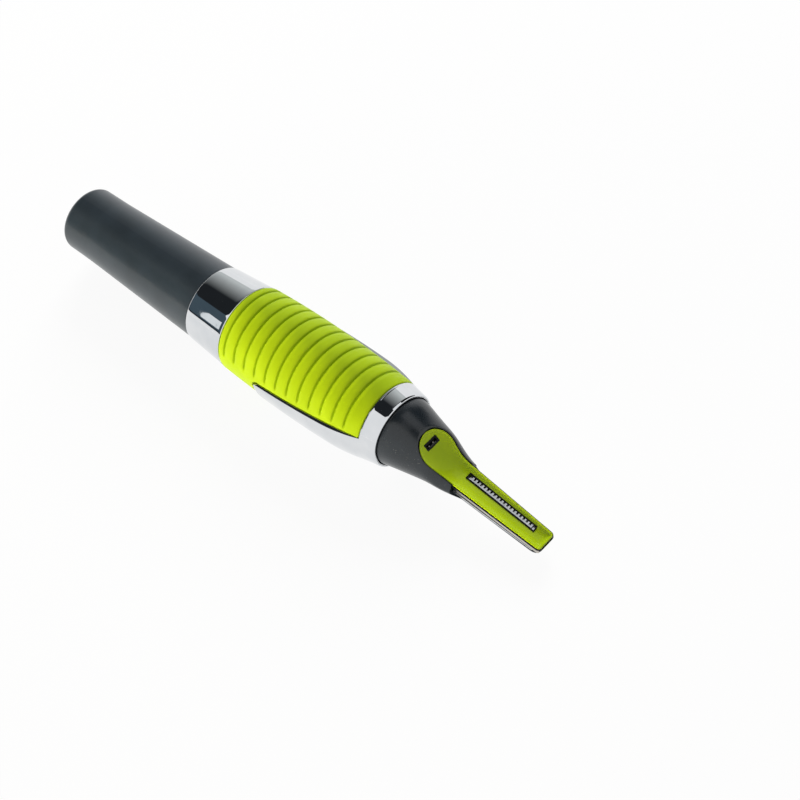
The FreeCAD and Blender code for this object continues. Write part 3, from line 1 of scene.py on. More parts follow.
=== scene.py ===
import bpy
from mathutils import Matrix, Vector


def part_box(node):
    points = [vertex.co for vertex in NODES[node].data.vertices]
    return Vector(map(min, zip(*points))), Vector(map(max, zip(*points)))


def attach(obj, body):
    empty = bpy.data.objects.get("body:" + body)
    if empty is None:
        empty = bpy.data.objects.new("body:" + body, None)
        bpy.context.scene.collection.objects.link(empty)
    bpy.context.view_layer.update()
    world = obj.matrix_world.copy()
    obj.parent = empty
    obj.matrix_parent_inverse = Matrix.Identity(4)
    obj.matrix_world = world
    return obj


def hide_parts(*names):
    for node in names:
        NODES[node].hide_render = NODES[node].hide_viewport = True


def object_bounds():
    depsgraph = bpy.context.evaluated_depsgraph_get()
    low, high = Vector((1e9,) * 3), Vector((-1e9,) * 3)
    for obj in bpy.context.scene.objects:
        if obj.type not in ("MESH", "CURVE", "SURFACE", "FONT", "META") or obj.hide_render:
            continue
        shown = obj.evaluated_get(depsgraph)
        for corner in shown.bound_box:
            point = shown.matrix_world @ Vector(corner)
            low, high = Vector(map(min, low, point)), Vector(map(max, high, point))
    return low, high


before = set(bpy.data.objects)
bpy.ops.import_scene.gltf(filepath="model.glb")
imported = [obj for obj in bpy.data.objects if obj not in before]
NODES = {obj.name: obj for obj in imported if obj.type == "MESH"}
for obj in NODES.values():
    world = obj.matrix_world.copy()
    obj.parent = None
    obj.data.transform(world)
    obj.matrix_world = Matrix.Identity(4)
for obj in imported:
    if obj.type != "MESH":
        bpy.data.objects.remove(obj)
cad_box = [list(corner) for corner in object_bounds()]

import math

import bpy
from mathutils import Matrix, Vector

MM = 0.001

# X runs from the tail to the tip, and the handle's axis lies at AXIS_Z above the floor.
TAIL_X = cad_box[0][0]
AXIS_Z = sum(corner[2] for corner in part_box("barrel")) / 2


# Materials. Patterns read Object coordinates, which are metres on every piece. A grain that is
# too fine to show is drawn coarser, and the material's comment says so.

# Most of a noise's values lie in its middle, so that part is stretched over the two shades.
NOISE_MIDDLE = (0.35, 0.65)


def srgb(code):
    """A hex colour as the linear colour of a shader socket."""
    parts = [int(code[start:start + 2], 16) / 255 for start in (1, 3, 5)]
    linear = [part / 12.92 if part <= 0.04045 else ((part + 0.055) / 1.055) ** 2.4
              for part in parts]
    return (*linear, 1)


def add(material, kind, inputs=None, **settings):
    """Add a node with its settings; an input is a plain value or another node's output."""
    tree = material.node_tree
    node = tree.nodes.new(kind)
    for name, value in settings.items():
        setattr(node, name, value)
    for name, value in (inputs or {}).items():
        if isinstance(value, bpy.types.NodeSocket):
            tree.links.new(value, node.inputs[name])
        else:
            node.inputs[name].default_value = value
    return node


def blank(name):
    """An empty node material and its Object coordinates."""
    material = bpy.data.materials.new(name)
    material.use_nodes = True
    material.node_tree.nodes.clear()
    place = add(material, "ShaderNodeTexCoord").outputs["Object"]
    return material, place


def close(material, inputs):
    """The shader and the output that finish a material."""
    shader = add(material, "ShaderNodeBsdfPrincipled", inputs)
    add(material, "ShaderNodeOutputMaterial", {"Surface": shader.outputs["BSDF"]})
    return material


def mottle(material, place, size, dark, light):
    """Two close shades that drift into each other over patches of a size in millimetres."""
    noise = add(material, "ShaderNodeTexNoise",
                {"Vector": place, "Scale": 1 / (size * MM), "Detail": 3.0, "Roughness": 0.55})
    ramp = add(material, "ShaderNodeValToRGB", {"Fac": noise.outputs["Fac"]})
    stops = ramp.color_ramp.elements
    stops[0].position, stops[1].position = NOISE_MIDDLE
    stops[0].color, stops[1].color = srgb(dark), srgb(light)
    return ramp.outputs["Color"]


def wander(material, place, size, low, high):
    """A value that wanders between two limits over patches of a size in millimetres."""
    noise = add(material, "ShaderNodeTexNoise",
                {"Vector": place, "Scale": 1 / (size * MM), "Detail": 4.0, "Roughness": 0.6})
    return add(material, "ShaderNodeMapRange",
               {"Value": noise.outputs["Fac"], "From Min": 0.3, "From Max": 0.7,
                "To Min": low, "To Max": high}).outputs["Result"]


def relief(material, place, size, height):
    """Bump of a grain size and a height in millimetres."""
    noise = add(material, "ShaderNodeTexNoise",
                {"Vector": place, "Scale": 1 / (size * MM), "Detail": 2.0})
    return add(material, "ShaderNodeBump", {"Height": noise.outputs["Fac"],
                                            "Distance": height * MM}).outputs["Normal"]


def soft_touch_rubber():
    """Injected thermoplastic rubber: a satin skin with a fine spark-eroded grain.

    It gives the eye a broad, soft highlight and a saturated lime with slight drift. The grain
    is drawn coarser than a real one, which is too fine to show.
    """
    material, place = blank("soft_touch_rubber")
    grain = relief(material, place, 0.22, 0.012)
    return close(material, {
        "Base Color": mottle(material, place, 9, "#9FBA08", "#A8C30E"),
        "Roughness": wander(material, place, 0.8, 0.44, 0.54),
        "Normal": grain,
        "IOR": 1.5,
        "Specular IOR Level": 0.16,
    })


def lime_moulding():
    """Polished lime ABS of the head insert: clear gloss over an even, bright colour."""
    material, place = blank("lime_gloss_abs")
    flow = relief(material, place, 1.6, 0.002)
    return close(material, {
        "Base Color": mottle(material, place, 5, "#B0CC08", "#BAD410"),
        "Roughness": wander(material, place, 1.5, 0.2, 0.28),
        "Normal": flow,
        "IOR": 1.53,
        "Specular IOR Level": 0.2,
    })


def charcoal_moulding(name, dark, light, smooth, rough):
    """Satin charcoal ABS: blue-grey, with a faint moulded orange peel.

    The cap is duller and lighter; the nozzle comes from a polished mould and looks deeper.
    """
    material, place = blank(name)
    peel = relief(material, place, 0.5, 0.0012)
    return close(material, {
        "Base Color": mottle(material, place, 7, dark, light),
        "Roughness": wander(material, place, 1.2, smooth, rough),
        "Normal": peel,
        "IOR": 1.53,
    })


def chrome_plating():
    """Bright chrome plated on moulded ABS: mirror-like, with the plastic's slight waves."""
    material, place = blank("chrome_plated_abs")
    waves = relief(material, place, 3.2, 0.002)
    return close(material, {
        "Base Color": mottle(material, place, 6, "#D5D8DB", "#DEE0E2"),
        "Metallic": 1.0,
        "Roughness": wander(material, place, 1.4, 0.02, 0.04),
        "Normal": waves,
    })


def ground_steel():
    """Surface-ground blade steel: bright, with fine lines across the strip.

    The lines are drawn coarser than real ones, which are too fine to show.
    """
    material, place = blank("ground_blade_steel")
    lines = add(material, "ShaderNodeMapping",
                {"Vector": place, "Scale": (1.0, 0.08, 1.0)}).outputs["Vector"]
    scratch = relief(material, lines, 0.12, 0.001)
    return close(material, {
        "Base Color": mottle(material, place, 2, "#C6C9CC", "#D6D8DA"),
        "Metallic": 1.0,
        "Roughness": wander(material, lines, 0.2, 0.22, 0.36),
        "Normal": scratch,
    })


def nickel_sheet():
    """Nickel-plated sheet and wire of springs, can and pins: warm grey, half bright."""
    material, place = blank("nickel_plated_steel")
    return close(material, {
        "Base Color": mottle(material, place, 3, "#B9B4AA", "#C8C4BB"),
        "Metallic": 1.0,
        "Roughness": wander(material, place, 1.0, 0.2, 0.35),
        "Normal": relief(material, place, 0.5, 0.003),
    })


def contact_bronze():
    """Rolled contact bronze: warm yellow with a dull, even grain.

    The grain is drawn coarser than a real one, which is too fine to show.
    """
    material, place = blank("rolled_contact_bronze")
    return close(material, {
        "Base Color": mottle(material, place, 2, "#B98F4B", "#C9A25C"),
        "Metallic": 1.0,
        "Roughness": wander(material, place, 0.6, 0.28, 0.42),
        "Normal": relief(material, place, 0.3, 0.003),
    })


def black_moulding():
    """Glass-filled nylon of the inner parts: nearly black, dry and finely grained.

    The grain is drawn coarser than a real one, which is too fine to show.
    """
    material, place = blank("black_nylon")
    return close(material, {
        "Base Color": mottle(material, place, 3, "#0C0D0E", "#131415"),
        "Roughness": wander(material, place, 0.7, 0.42, 0.55),
        "Normal": relief(material, place, 0.25, 0.008),
        "IOR": 1.53,
        "Specular IOR Level": 0.14,
    })


def acetal_moulding():
    """White acetal of crank and lever: waxy and faintly translucent."""
    material, place = blank("white_acetal")
    return close(material, {
        "Base Color": mottle(material, place, 3, "#DEDDD6", "#E8E7E1"),
        "Roughness": wander(material, place, 0.9, 0.34, 0.44),
        "Normal": relief(material, place, 0.6, 0.004),
        "IOR": 1.48,
    })


def seal_rubber():
    """Nitrile seal: dull black with a faint bloom."""
    material, place = blank("nitrile_rubber")
    return close(material, {
        "Base Color": mottle(material, place, 2, "#0B0B0C", "#17181A"),
        "Roughness": wander(material, place, 0.8, 0.55, 0.7),
        "Normal": relief(material, place, 0.3, 0.006),
        "IOR": 1.52,
    })


def cell_jacket():
    """Plain shrink sleeve of the battery cell: silver grey with a plastic gloss."""
    material, place = blank("cell_shrink_sleeve")
    return close(material, {
        "Base Color": mottle(material, place, 8, "#7E8489", "#8B9196"),
        "Specular IOR Level": 0.7,
        "Roughness": wander(material, place, 2.0, 0.25, 0.34),
        "Normal": relief(material, place, 1.8, 0.004),
        "IOR": 1.5,
    })


def solder_mask():
    """Green solder mask over the switch board: glossy over a woven laminate."""
    material, place = blank("green_solder_mask")
    return close(material, {
        "Base Color": mottle(material, place, 1.5, "#0E4B27", "#125A30"),
        "Roughness": wander(material, place, 1.0, 0.25, 0.36),
        "Normal": relief(material, place, 0.4, 0.008),
        "IOR": 1.55,
    })


def magnet_ferrite():
    """Ground ferrite magnets: dark grey ceramic with a dry grain.

    The grain is drawn coarser than a real one, which is too fine to show.
    """
    material, place = blank("ground_ferrite")
    return close(material, {
        "Base Color": mottle(material, place, 1.5, "#2A2A2D", "#38383B"),
        "Roughness": wander(material, place, 0.6, 0.5, 0.65),
        "Normal": relief(material, place, 0.2, 0.01),
        "IOR": 1.6,
    })


def wound_copper():
    """Enamelled copper windings: reddish and glossy, in rows along the armature.

    The rows are 0.69 mm apart, which is coarser than a small motor's wire.
    """
    material, place = blank("enamelled_copper_winding")
    row_scale, rise = 1 / (0.35 * MM) / 6.283, 0.08
    rows = add(material, "ShaderNodeTexWave",
               {"Vector": place, "Scale": row_scale, "Distortion": 0.4}, bands_direction="X")
    bump = add(material, "ShaderNodeBump", {"Height": rows.outputs["Fac"], "Distance": rise * MM})
    return close(material, {
        "Base Color": mottle(material, place, 1.2, "#8A3F1C", "#A8572B"),
        "Metallic": 1.0,
        "Roughness": wander(material, place, 0.8, 0.25, 0.4),
        "Normal": bump.outputs["Normal"],
    })


def lamp_epoxy():
    """Epoxy of the unlit lamp, painted nearly black as the shade inside its window, with a wet
    gloss that catches glints.
    """
    material, place = blank("lamp_epoxy_painted_dark")
    return close(material, {
        "Base Color": mottle(material, place, 0.8, "#0B0C0E", "#15171A"),
        "Roughness": wander(material, place, 0.5, 0.03, 0.08),
        "IOR": 1.54,
        "Coat Weight": 0.6,
        "Coat Roughness": 0.03,
    })


RUBBER = soft_touch_rubber()
LIME = lime_moulding()
CHARCOAL = charcoal_moulding("charcoal_satin_abs", "#272F35", "#2C353C", smooth=0.29, rough=0.33)
NOZZLE = charcoal_moulding("charcoal_polished_abs", "#161C21", "#1B2228", smooth=0.26, rough=0.31)
CHROME = chrome_plating()
STEEL = ground_steel()
NICKEL = nickel_sheet()
BRONZE = contact_bronze()
NYLON = black_moulding()
ACETAL = acetal_moulding()
NITRILE = seal_rubber()
SLEEVE = cell_jacket()
MASK = solder_mask()
FERRITE = magnet_ferrite()
COPPER = wound_copper()
EPOXY = lamp_epoxy()

FINISHES = {
    RUBBER: ("grip",),
    LIME: ("head_insert",),
    CHARCOAL: ("tail_cap",),
    NOZZLE: ("nozzle",),
    CHROME: ("rear_ring", "chrome_bezel"),
    STEEL: ("fixed_blade", "moving_blade"),
    NICKEL: ("spring_plate", "battery_spring", "motor_can", "motor_screws", "motor_shaft",
             "pivot_pin"),
    BRONZE: ("positive_contact", "negative_strip", "slide_contact", "lamp_leads",
             "lamp_contacts"),
    NYLON: ("barrel", "battery_tube", "power_slider", "motor_endcap", "motor_cradle",
            "blade_guide", "lamp_frame"),
    ACETAL: ("crank", "rocker_lever"),
    NITRILE: ("cap_seal",),
    SLEEVE: ("battery_cell",),
    MASK: ("switch_board",),
    FERRITE: ("motor_magnets",),
    COPPER: ("armature",),
    EPOXY: ("lamp",),
}

for material, names in FINISHES.items():
    for name in names:
        NODES[name].data.materials.clear()
        NODES[name].data.materials.append(material)


# Modelling steps.

def start():
    """Nothing selected and no mesh being edited."""
    if bpy.context.object and bpy.context.object.mode == "EDIT":
        bpy.ops.object.mode_set(mode="OBJECT")
    bpy.ops.object.select_all(action="DESELECT")


def at(x, y=0.0, z=0.0):
    """A place in metres from millimetres: x from the tail, y and z from the axis."""
    return Vector((TAIL_X + x * MM, y * MM, AXIS_Z + z * MM))


def edit(piece):
    """Open a piece for editing by its vertices, with nothing selected."""
    if bpy.context.object is not piece:
        start()
        bpy.context.view_layer.objects.active = piece
        piece.select_set(True)
    bpy.ops.object.mode_set(mode="EDIT")
    bpy.ops.mesh.select_mode(type="VERT")
    bpy.ops.mesh.select_all(action="DESELECT")


def pick(piece, chosen, kind="VERT"):
    """Select only the vertices or faces whose numbers are chosen, and go on editing.

    All kinds are deselected first, because edges and faces keep their old marks otherwise.
    """
    bpy.ops.mesh.select_mode(type=kind)
    bpy.ops.mesh.select_all(action="DESELECT")
    bpy.ops.object.mode_set(mode="OBJECT")
    items = piece.data.vertices if kind == "VERT" else piece.data.polygons
    flags = [False] * len(items)
    for number in chosen:
        flags[number] = True
    items.foreach_set("select", flags)
    bpy.ops.object.mode_set(mode="EDIT")


def close_up(piece, gap=0.002):
    """Merge what coincides, turn all faces outwards and stop editing."""
    edit(piece)
    bpy.ops.mesh.select_all(action="SELECT")
    bpy.ops.mesh.remove_doubles(threshold=gap * MM)
    bpy.ops.mesh.normals_make_consistent(inside=False)
    bpy.ops.object.mode_set(mode="OBJECT")


def modify(piece, kind, **settings):
    """Add a modifier and apply it."""
    modifier = piece.modifiers.new(kind.lower(), kind)
    for name, value in settings.items():
        setattr(modifier, name, value)
    bpy.context.view_layer.objects.active = piece
    bpy.ops.object.modifier_apply(modifier=modifier.name)


def turned(name, profile, steps):
    """Turn a piece: a ring, extruded and scaled from point to point of a profile."""
    start()
    (x, radius), *rest = profile
    bpy.ops.mesh.primitive_circle_add(vertices=steps, radius=radius * MM, location=at(x),
                                      rotation=(0, math.pi / 2, 0))
    piece = bpy.context.object
    piece.name = name
    bpy.ops.object.transform_apply(location=True, rotation=True, scale=True)
    bpy.ops.object.mode_set(mode="EDIT")
    bpy.ops.mesh.select_all(action="SELECT")
    for next_x, next_radius in rest:
        bpy.ops.mesh.extrude_region_move(
            TRANSFORM_OT_translate={"value": ((next_x - x) * MM, 0, 0)})
        grow = next_radius / radius
        bpy.ops.transform.resize(value=(1, grow, grow), center_override=at(next_x))
        x, radius = next_x, next_radius
    bpy.ops.object.mode_set(mode="OBJECT")
    return piece


def finish_piece(piece, material, body, *nodes, angle=30):
    """Smooth, coloured, riding on its body and standing for its CAD nodes."""
    start()
    bpy.context.view_layer.objects.active = piece
    piece.select_set(True)
    bpy.ops.object.shade_smooth_by_angle(angle=math.radians(angle))
    piece.data.materials.clear()
    piece.data.materials.append(material)
    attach(piece, body)
    if nodes:
        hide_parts(*nodes)
    start()


# Grip: a swelling sleeve with twelve pressed grooves, open at the back for the panel.

# Lengths are millimetres: x from the tail, radii from the axis.
GRIP_REAR, GRIP_FRONT = 55.45, 97.38
GRIP_BORE = 8.93
SLEEVE_ENDS = (10.45, 9.75)
BELLY = 0.819
GROOVES = [57.4 + 3.26 * number for number in range(12)]
# Places across a groove, each with its share of the depth.
GROOVE_STEPS = ((-0.38, 0), (-0.3, 0.12), (-0.2, 0.72), (-0.1, 0.98), (0, 1),
                (0.1, 0.98), (0.2, 0.72), (0.3, 0.12), (0.38, 0))
GROOVE_DEPTH = 0.5
GROOVE_FADE = 5  # degrees over which a groove runs out
GROOVE_LAND = (1.3, 2.0)  # places between a groove and the next
GRIP_SIDES = 180


def sleeve_radius(x):
    """Outer radius of the grip: a straight taper with a belly on it."""
    share = (x - GRIP_REAR) / (GRIP_FRONT - GRIP_REAR)
    return (SLEEVE_ENDS[0] * (1 - share) + SLEEVE_ENDS[1] * share
            + BELLY * (1 - (share * 2 - 1) ** 2))


def groove_reach(x):
    """Angle from overhead at which a groove ends: sooner where the panel stands higher."""
    widest, fall, from_x = 78, 0.43, 62
    return widest - fall * max(0, x - from_x)


def press_grooves(piece):
    """Press the grooves in over the front of the sleeve, each fading out at its ends."""
    skin, near = 0.05, 0.02  # how far a vertex may lie below the skin, and beside its place
    levels = {}
    for vertex in piece.data.vertices:
        x = (vertex.co.x - TAIL_X) / MM
        y, z = vertex.co.y / MM, (vertex.co.z - AXIS_Z) / MM
        if math.hypot(y, z) < sleeve_radius(x) - skin:
            continue
        turn = abs(math.degrees(math.atan2(y, z)))
        fade = min(1, max(0, (groove_reach(x) - turn) / GROOVE_FADE))
        for middle in GROOVES:
            for offset, share in GROOVE_STEPS:
                if abs(x - middle - offset) < near and share * fade > 0:
                    depth = round(share * math.sin(fade * math.pi / 2), 2)
                    levels.setdefault(depth, []).append(vertex.index)
    edit(piece)
    radius = sleeve_radius((GRIP_REAR + GRIP_FRONT) / 2)
    for depth, chosen in sorted(levels.items()):
        pick(piece, chosen)
        shrink = 1 - depth * GROOVE_DEPTH / radius
        bpy.ops.transform.resize(value=(1, shrink, shrink), center_override=at(0))
    bpy.ops.object.mode_set(mode="OBJECT")


def panel_cutter():
    """Block that opens the sleeve's back for the panel, with a rounded rear edge."""
    start()
    rear, front, low = 66.25, 99.0, -14.0
    high_rear, high_front = 1.6, 4.22
    width, corner, middle = 30, 2.1, at(90).x
    bpy.ops.mesh.primitive_cube_add(
        size=1, location=at((rear + front) / 2, 0, (low + high_rear) / 2),
        scale=((front - rear) * MM, width * MM, (high_rear - low) * MM))
    cutter = bpy.context.object
    cutter.name = "panel_cutter"
    bpy.ops.object.transform_apply(location=True, rotation=True, scale=True)
    top = at(0, 0, high_rear).z - 1e-6
    edit(cutter)
    pick(cutter, [v.index for v in cutter.data.vertices if v.co.z > top and v.co.x > middle])
    bpy.ops.transform.translate(value=(0, 0, (high_front - high_rear) * MM))
    pick(cutter, [v.index for v in cutter.data.vertices if v.co.z > top and v.co.x < middle])
    bpy.ops.mesh.bevel(offset=corner * MM, segments=10, affect="EDGES")
    bpy.ops.object.mode_set(mode="OBJECT")
    return cutter


def cut_away(piece, cutter):
    """Cut one block out of a piece and throw the block away."""
    start()
    modify(piece, "BOOLEAN", object=cutter, operation="DIFFERENCE", solver="EXACT")
    bpy.data.objects.remove(cutter)


def flatten_base(piece):
    """Cut off what would stand below the surface that the handle lies on."""
    edit(piece)
    bpy.ops.mesh.select_all(action="SELECT")
    bpy.ops.mesh.bisect(plane_co=(0, 0, 0.01 * MM), plane_no=(0, 0, 1), use_fill=True,
                        clear_inner=True, threshold=1e-6)
    bpy.ops.object.mode_set(mode="OBJECT")


def rubber_grip():
    """Sleeve turned with its grooves, opened for the panel and flattened underneath."""
    edge = 0.35
    profile = [(GRIP_REAR, GRIP_BORE), (GRIP_REAR, SLEEVE_ENDS[0] - edge)]
    for turn in (30, 60, 90):
        reach = math.radians(turn)
        x = GRIP_REAR + edge * (1 - math.cos(reach))
        profile.append((x, sleeve_radius(x) - edge * (1 - math.sin(reach))))
    for middle in GROOVES:
        profile += [(middle + offset, sleeve_radius(middle + offset))
                    for offset, _ in GROOVE_STEPS]
        profile += [(middle + offset, sleeve_radius(middle + offset)) for offset in GROOVE_LAND]
    for turn in (90, 60, 30):
        reach = math.radians(turn)
        x = GRIP_FRONT - edge * (1 - math.cos(reach))
        profile.append((x, sleeve_radius(x) - edge * (1 - math.sin(reach))))
    profile += [(GRIP_FRONT, SLEEVE_ENDS[1] - edge), (GRIP_FRONT, GRIP_BORE)]
    for share in (0.75, 0.5, 0.25, 0):
        profile.append((GRIP_REAR + (GRIP_FRONT - GRIP_REAR) * share, GRIP_BORE))
    piece = turned("rubber_grip", profile, GRIP_SIDES)
    close_up(piece)
    press_grooves(piece)
    cut_away(piece, panel_cutter())
    close_up(piece, gap=0.03)
    modify(piece, "BEVEL", width=0.22 * MM, segments=2, limit_method="ANGLE",
           angle_limit=math.radians(55), use_clamp_overlap=True)
    flatten_base(piece)
    finish_piece(piece, RUBBER, "handle", "grip", angle=40)


def softened(node, name, width):
    """A merged copy of a moulded CAD piece with its sharp edges broken."""
    start()
    source = NODES[node]
    piece = source.copy()
    piece.data = source.data.copy()
    piece.name = name
    bpy.context.scene.collection.objects.link(piece)
    close_up_copy(piece)
    modify(piece, "BEVEL", width=width * MM, segments=2, limit_method="ANGLE",
           angle_limit=math.radians(28), use_clamp_overlap=True)
    return piece


def close_up_copy(piece):
    """Merge a copy's loose triangles and dissolve the lines between flat neighbours."""
    start()
    bpy.context.view_layer.objects.active = piece
    piece.select_set(True)
    piece.data.materials.clear()
    bpy.ops.object.mode_set(mode="EDIT")
    bpy.ops.mesh.select_all(action="SELECT")
    bpy.ops.mesh.customdata_custom_splitnormals_clear()
    bpy.ops.mesh.remove_doubles(threshold=0.001 * MM)
    bpy.ops.mesh.dissolve_limited(angle_limit=math.radians(0.5))
    bpy.ops.object.mode_set(mode="OBJECT")


# Head: the insert's outline and rim, below which the comb and the lamp sit.

HEAD_LEAN = math.radians(10.9)
REAR_X, WIDE_X, END_X = 108.84, 112.2, 141.38
WIDEST = 4.22
# Half widths of the insert and heights of its rim at places along it.
WIDTHS = ((110.5, 3.7), (112.2, 4.22), (113.2, 4.07), (114.2, 3.76), (115.4, 3.46),
          (116.6, 3.29), (118, 3.22), (121, 3.13), (140.6, 2.54), (143, 2.47))
RIM = ((107, 7.41), (108.9, 5.65), (111.4, 3.34), (113.2, 1.68), (114.2, 0.76), (115.4, -0.13),
       (116.6, -0.74), (118, -1.23), (119.5, -1.52), (125, -2.58), (145, -6.43))
CORNER = 0.8
FLANK = 1.2
INSERT_GAP = 0.1  # room left at each side of the insert for the black band of painted gap shade
SLOT_X, SLOT_Y = (119.2, 137.5), (0.35, 1.75)
WINDOW_X, WINDOW_HALF = (109.85, 111.12), 1.88


def along(table, x):
    """Value at x of a smooth curve through a table of places and values."""
    spot = next(n for n in range(1, len(table)) if x <= table[n][0] or n == len(table) - 1)
    (x1, v1), (x2, v2) = table[spot - 1], table[spot]
    slope = (v2 - v1) / (x2 - x1)
    before = after = slope
    if spot > 1:
        before = (v2 - table[spot - 2][1]) / (x2 - table[spot - 2][0])
    if spot < len(table) - 1:
        after = (table[spot + 1][1] - v1) / (table[spot + 1][0] - x1)
    share, reach = (x - x1) / (x2 - x1), x2 - x1
    return (v1 + share * (v2 - v1)
            + share * (1 - share) * reach * ((before - slope) * (1 - share)
                                             - (after - slope) * share))


def insert_half(x):
    """Half width of the insert at x: a round rear end and two tip corners."""
    if x < WIDE_X:
        return WIDEST * math.sqrt(max(0, 1 - ((WIDE_X - x) / (WIDE_X - REAR_X)) ** 2))
    if x > END_X - CORNER:
        reach = x - END_X + CORNER
        return along(WIDTHS, x) - CORNER + math.sqrt(max(0, CORNER ** 2 - reach ** 2))
    return along(WIDTHS, x)


def widened(x, margin):
    """Half width with a margin that shrinks away where the insert comes to its end."""
    return insert_half(x) + margin * min(1, insert_half(x))


# Rows are closer at the round rear end and the tip corners, columns at both edges.
INSERT_ROWS = ([REAR_X + (WIDE_X - REAR_X) * (1 - math.cos(math.pi * n / 40)) for n in range(20)]
               + [WIDE_X + 0.4 * n for n in range(17)]
               + [119 + 0.6 * n for n in range(36)]
               + [END_X - CORNER * (1 - math.sin(math.pi * n / 16)) for n in range(9)])
INSERT_COLUMNS = [math.sin(math.pi * n / 44) for n in range(-22, 23)]


def edge_distance(x, y, half_widths):
    """Distance of a place inside the insert from its outline."""
    nearest = max(0, END_X - x)
    too_far = 5
    for (x1, y1), (x2, y2) in zip(half_widths, half_widths[1:]):
        if abs(x1 - x) > too_far:
            continue
        run, rise = x2 - x1, y2 - y1
        share = ((x - x1) * run + (abs(y) - y1) * rise) / (run * run + rise * rise)
        share = min(1, max(0, share))
        nearest = min(nearest, math.hypot(x1 + share * run - x, y1 + share * rise - abs(y)))
    return nearest


def hollow_depth(distance, reach, deep):
    """Depth below the rim: a rounded edge, a narrow land, a step and a bowl."""
    round_over, land, step_end, step, fullness = 0.09, 0.2, 0.34, 0.26, 2.3
    if distance < round_over:
        return round_over - math.sqrt(round_over ** 2 - (round_over - distance) ** 2)
    if distance < land:
        return 0
    if distance < step_end:
        share = (distance - land) / (step_end - land)
        return step * share * share * (3 - 2 * share)
    share = min(1, (distance - step_end) / (reach - step_end))
    return step + (deep - step) * (1 - (1 - share) ** fullness)


def row_strip(name, rows, columns, half_width, top):
    """A sheet of rows along the insert, each set to its width and height."""
    start()
    middle = at(125)
    bpy.ops.mesh.primitive_grid_add(size=1, x_subdivisions=len(rows) - 1,
                                    y_subdivisions=len(columns) - 1, location=middle)
    piece = bpy.context.object
    piece.name = name
    bpy.ops.object.transform_apply(location=True, rotation=True, scale=True)
    numbers = {}
    for vertex in piece.data.vertices:
        row = round((vertex.co.x - middle.x + 0.5) * (len(rows) - 1))
        column = round((vertex.co.y + 0.5) * (len(columns) - 1))
        numbers[row, column] = vertex.index
    edit(piece)
    for column, place in enumerate(columns):
        pick(piece, [numbers[row, column] for row in range(len(rows))])
        bpy.ops.transform.translate(
            value=(0, place / 2 - (column / (len(columns) - 1) - 0.5), 0))
    for row, x in enumerate(rows):
        pick(piece, [numbers[row, column] for column in range(len(columns))])
        old_x = middle.x + row / (len(rows) - 1) - 0.5
        bpy.ops.transform.translate(value=(at(x).x - old_x, 0, top(x) * MM))
        bpy.ops.transform.resize(value=(1, max(0.001, half_width(x)) * 2 * MM, 1),
                                 center_override=at(x))
    bpy.ops.object.mode_set(mode="OBJECT")
    return piece


def rim_height(x):
    """Height of the insert's rim above the handle's axis."""
    return along(RIM, x)


def thicken(piece, depth):
    """Draw a sheet down into a solid with a flat seat below the rim."""
    # The copy is drawn far below the sheet first, so that a height tells the two apart.
    drop, split, level = 20, -9, -20
    edit(piece)
    bpy.ops.mesh.select_all(action="SELECT")
    bpy.ops.mesh.extrude_region_move(TRANSFORM_OT_translate={"value": (0, 0, -drop * MM)})
    bpy.ops.object.mode_set(mode="OBJECT")
    low = [v.index for v in piece.data.vertices if v.co.z < at(0, 0, split).z]
    by_row = {}
    for number in low:
        by_row.setdefault(round(piece.data.vertices[number].co.x, 6), []).append(number)
    edit(piece)
    for place, chosen in by_row.items():
        x = (place - TAIL_X) / MM
        pick(piece, chosen)
        bpy.ops.transform.resize(value=(1, 1, 0), center_override=at(x, 0, level))
        bpy.ops.transform.translate(value=(0, 0, (rim_height(x) - depth - level) * MM))
    bpy.ops.object.mode_set(mode="OBJECT")


def block(name, x, y, z):
    """A block between two places on each axis."""
    start()
    middle = [sum(pair) / 2 for pair in (x, y, z)]
    bpy.ops.mesh.primitive_cube_add(size=1, location=at(*middle),
                                    scale=[abs(pair[1] - pair[0]) * MM for pair in (x, y, z)])
    piece = bpy.context.object
    piece.name = name
    bpy.ops.object.transform_apply(location=True, rotation=True, scale=True)
    return piece


def lime_insert():
    """Insert scooped from a fine sheet: a raised rim round one long hollow."""
    bowl_share, deep, rear_run = 0.92, 0.92, 0.4
    piece = row_strip("lime_insert", INSERT_ROWS, INSERT_COLUMNS,
                      lambda x: widened(x, -INSERT_GAP), rim_height)
    outline = [(x, widened(x, -INSERT_GAP)) for x in INSERT_ROWS]
    levels = {}
    for vertex in piece.data.vertices:
        x, y = (vertex.co.x - TAIL_X) / MM, vertex.co.y / MM
        reach = insert_half(max(x, WIDE_X + rear_run)) * bowl_share
        depth = hollow_depth(edge_distance(x, y, outline), reach, deep)
        levels.setdefault(round(depth, 3), []).append(vertex.index)
    edit(piece)
    for depth, chosen in levels.items():
        pick(piece, chosen)
        bpy.ops.transform.translate(value=(0, 0, -depth * MM))
    bpy.ops.object.mode_set(mode="OBJECT")
    thicken(piece, FLANK)
    close_up(piece)
    cut_away(piece, block("slot_cutter", SLOT_X, SLOT_Y, (-9, 0)))
    cut_away(piece, block("window_cutter", WINDOW_X, (-WINDOW_HALF, WINDOW_HALF), (0, 6)))
    close_up(piece)
    finish_piece(piece, LIME, "head", "head_insert", angle=70)


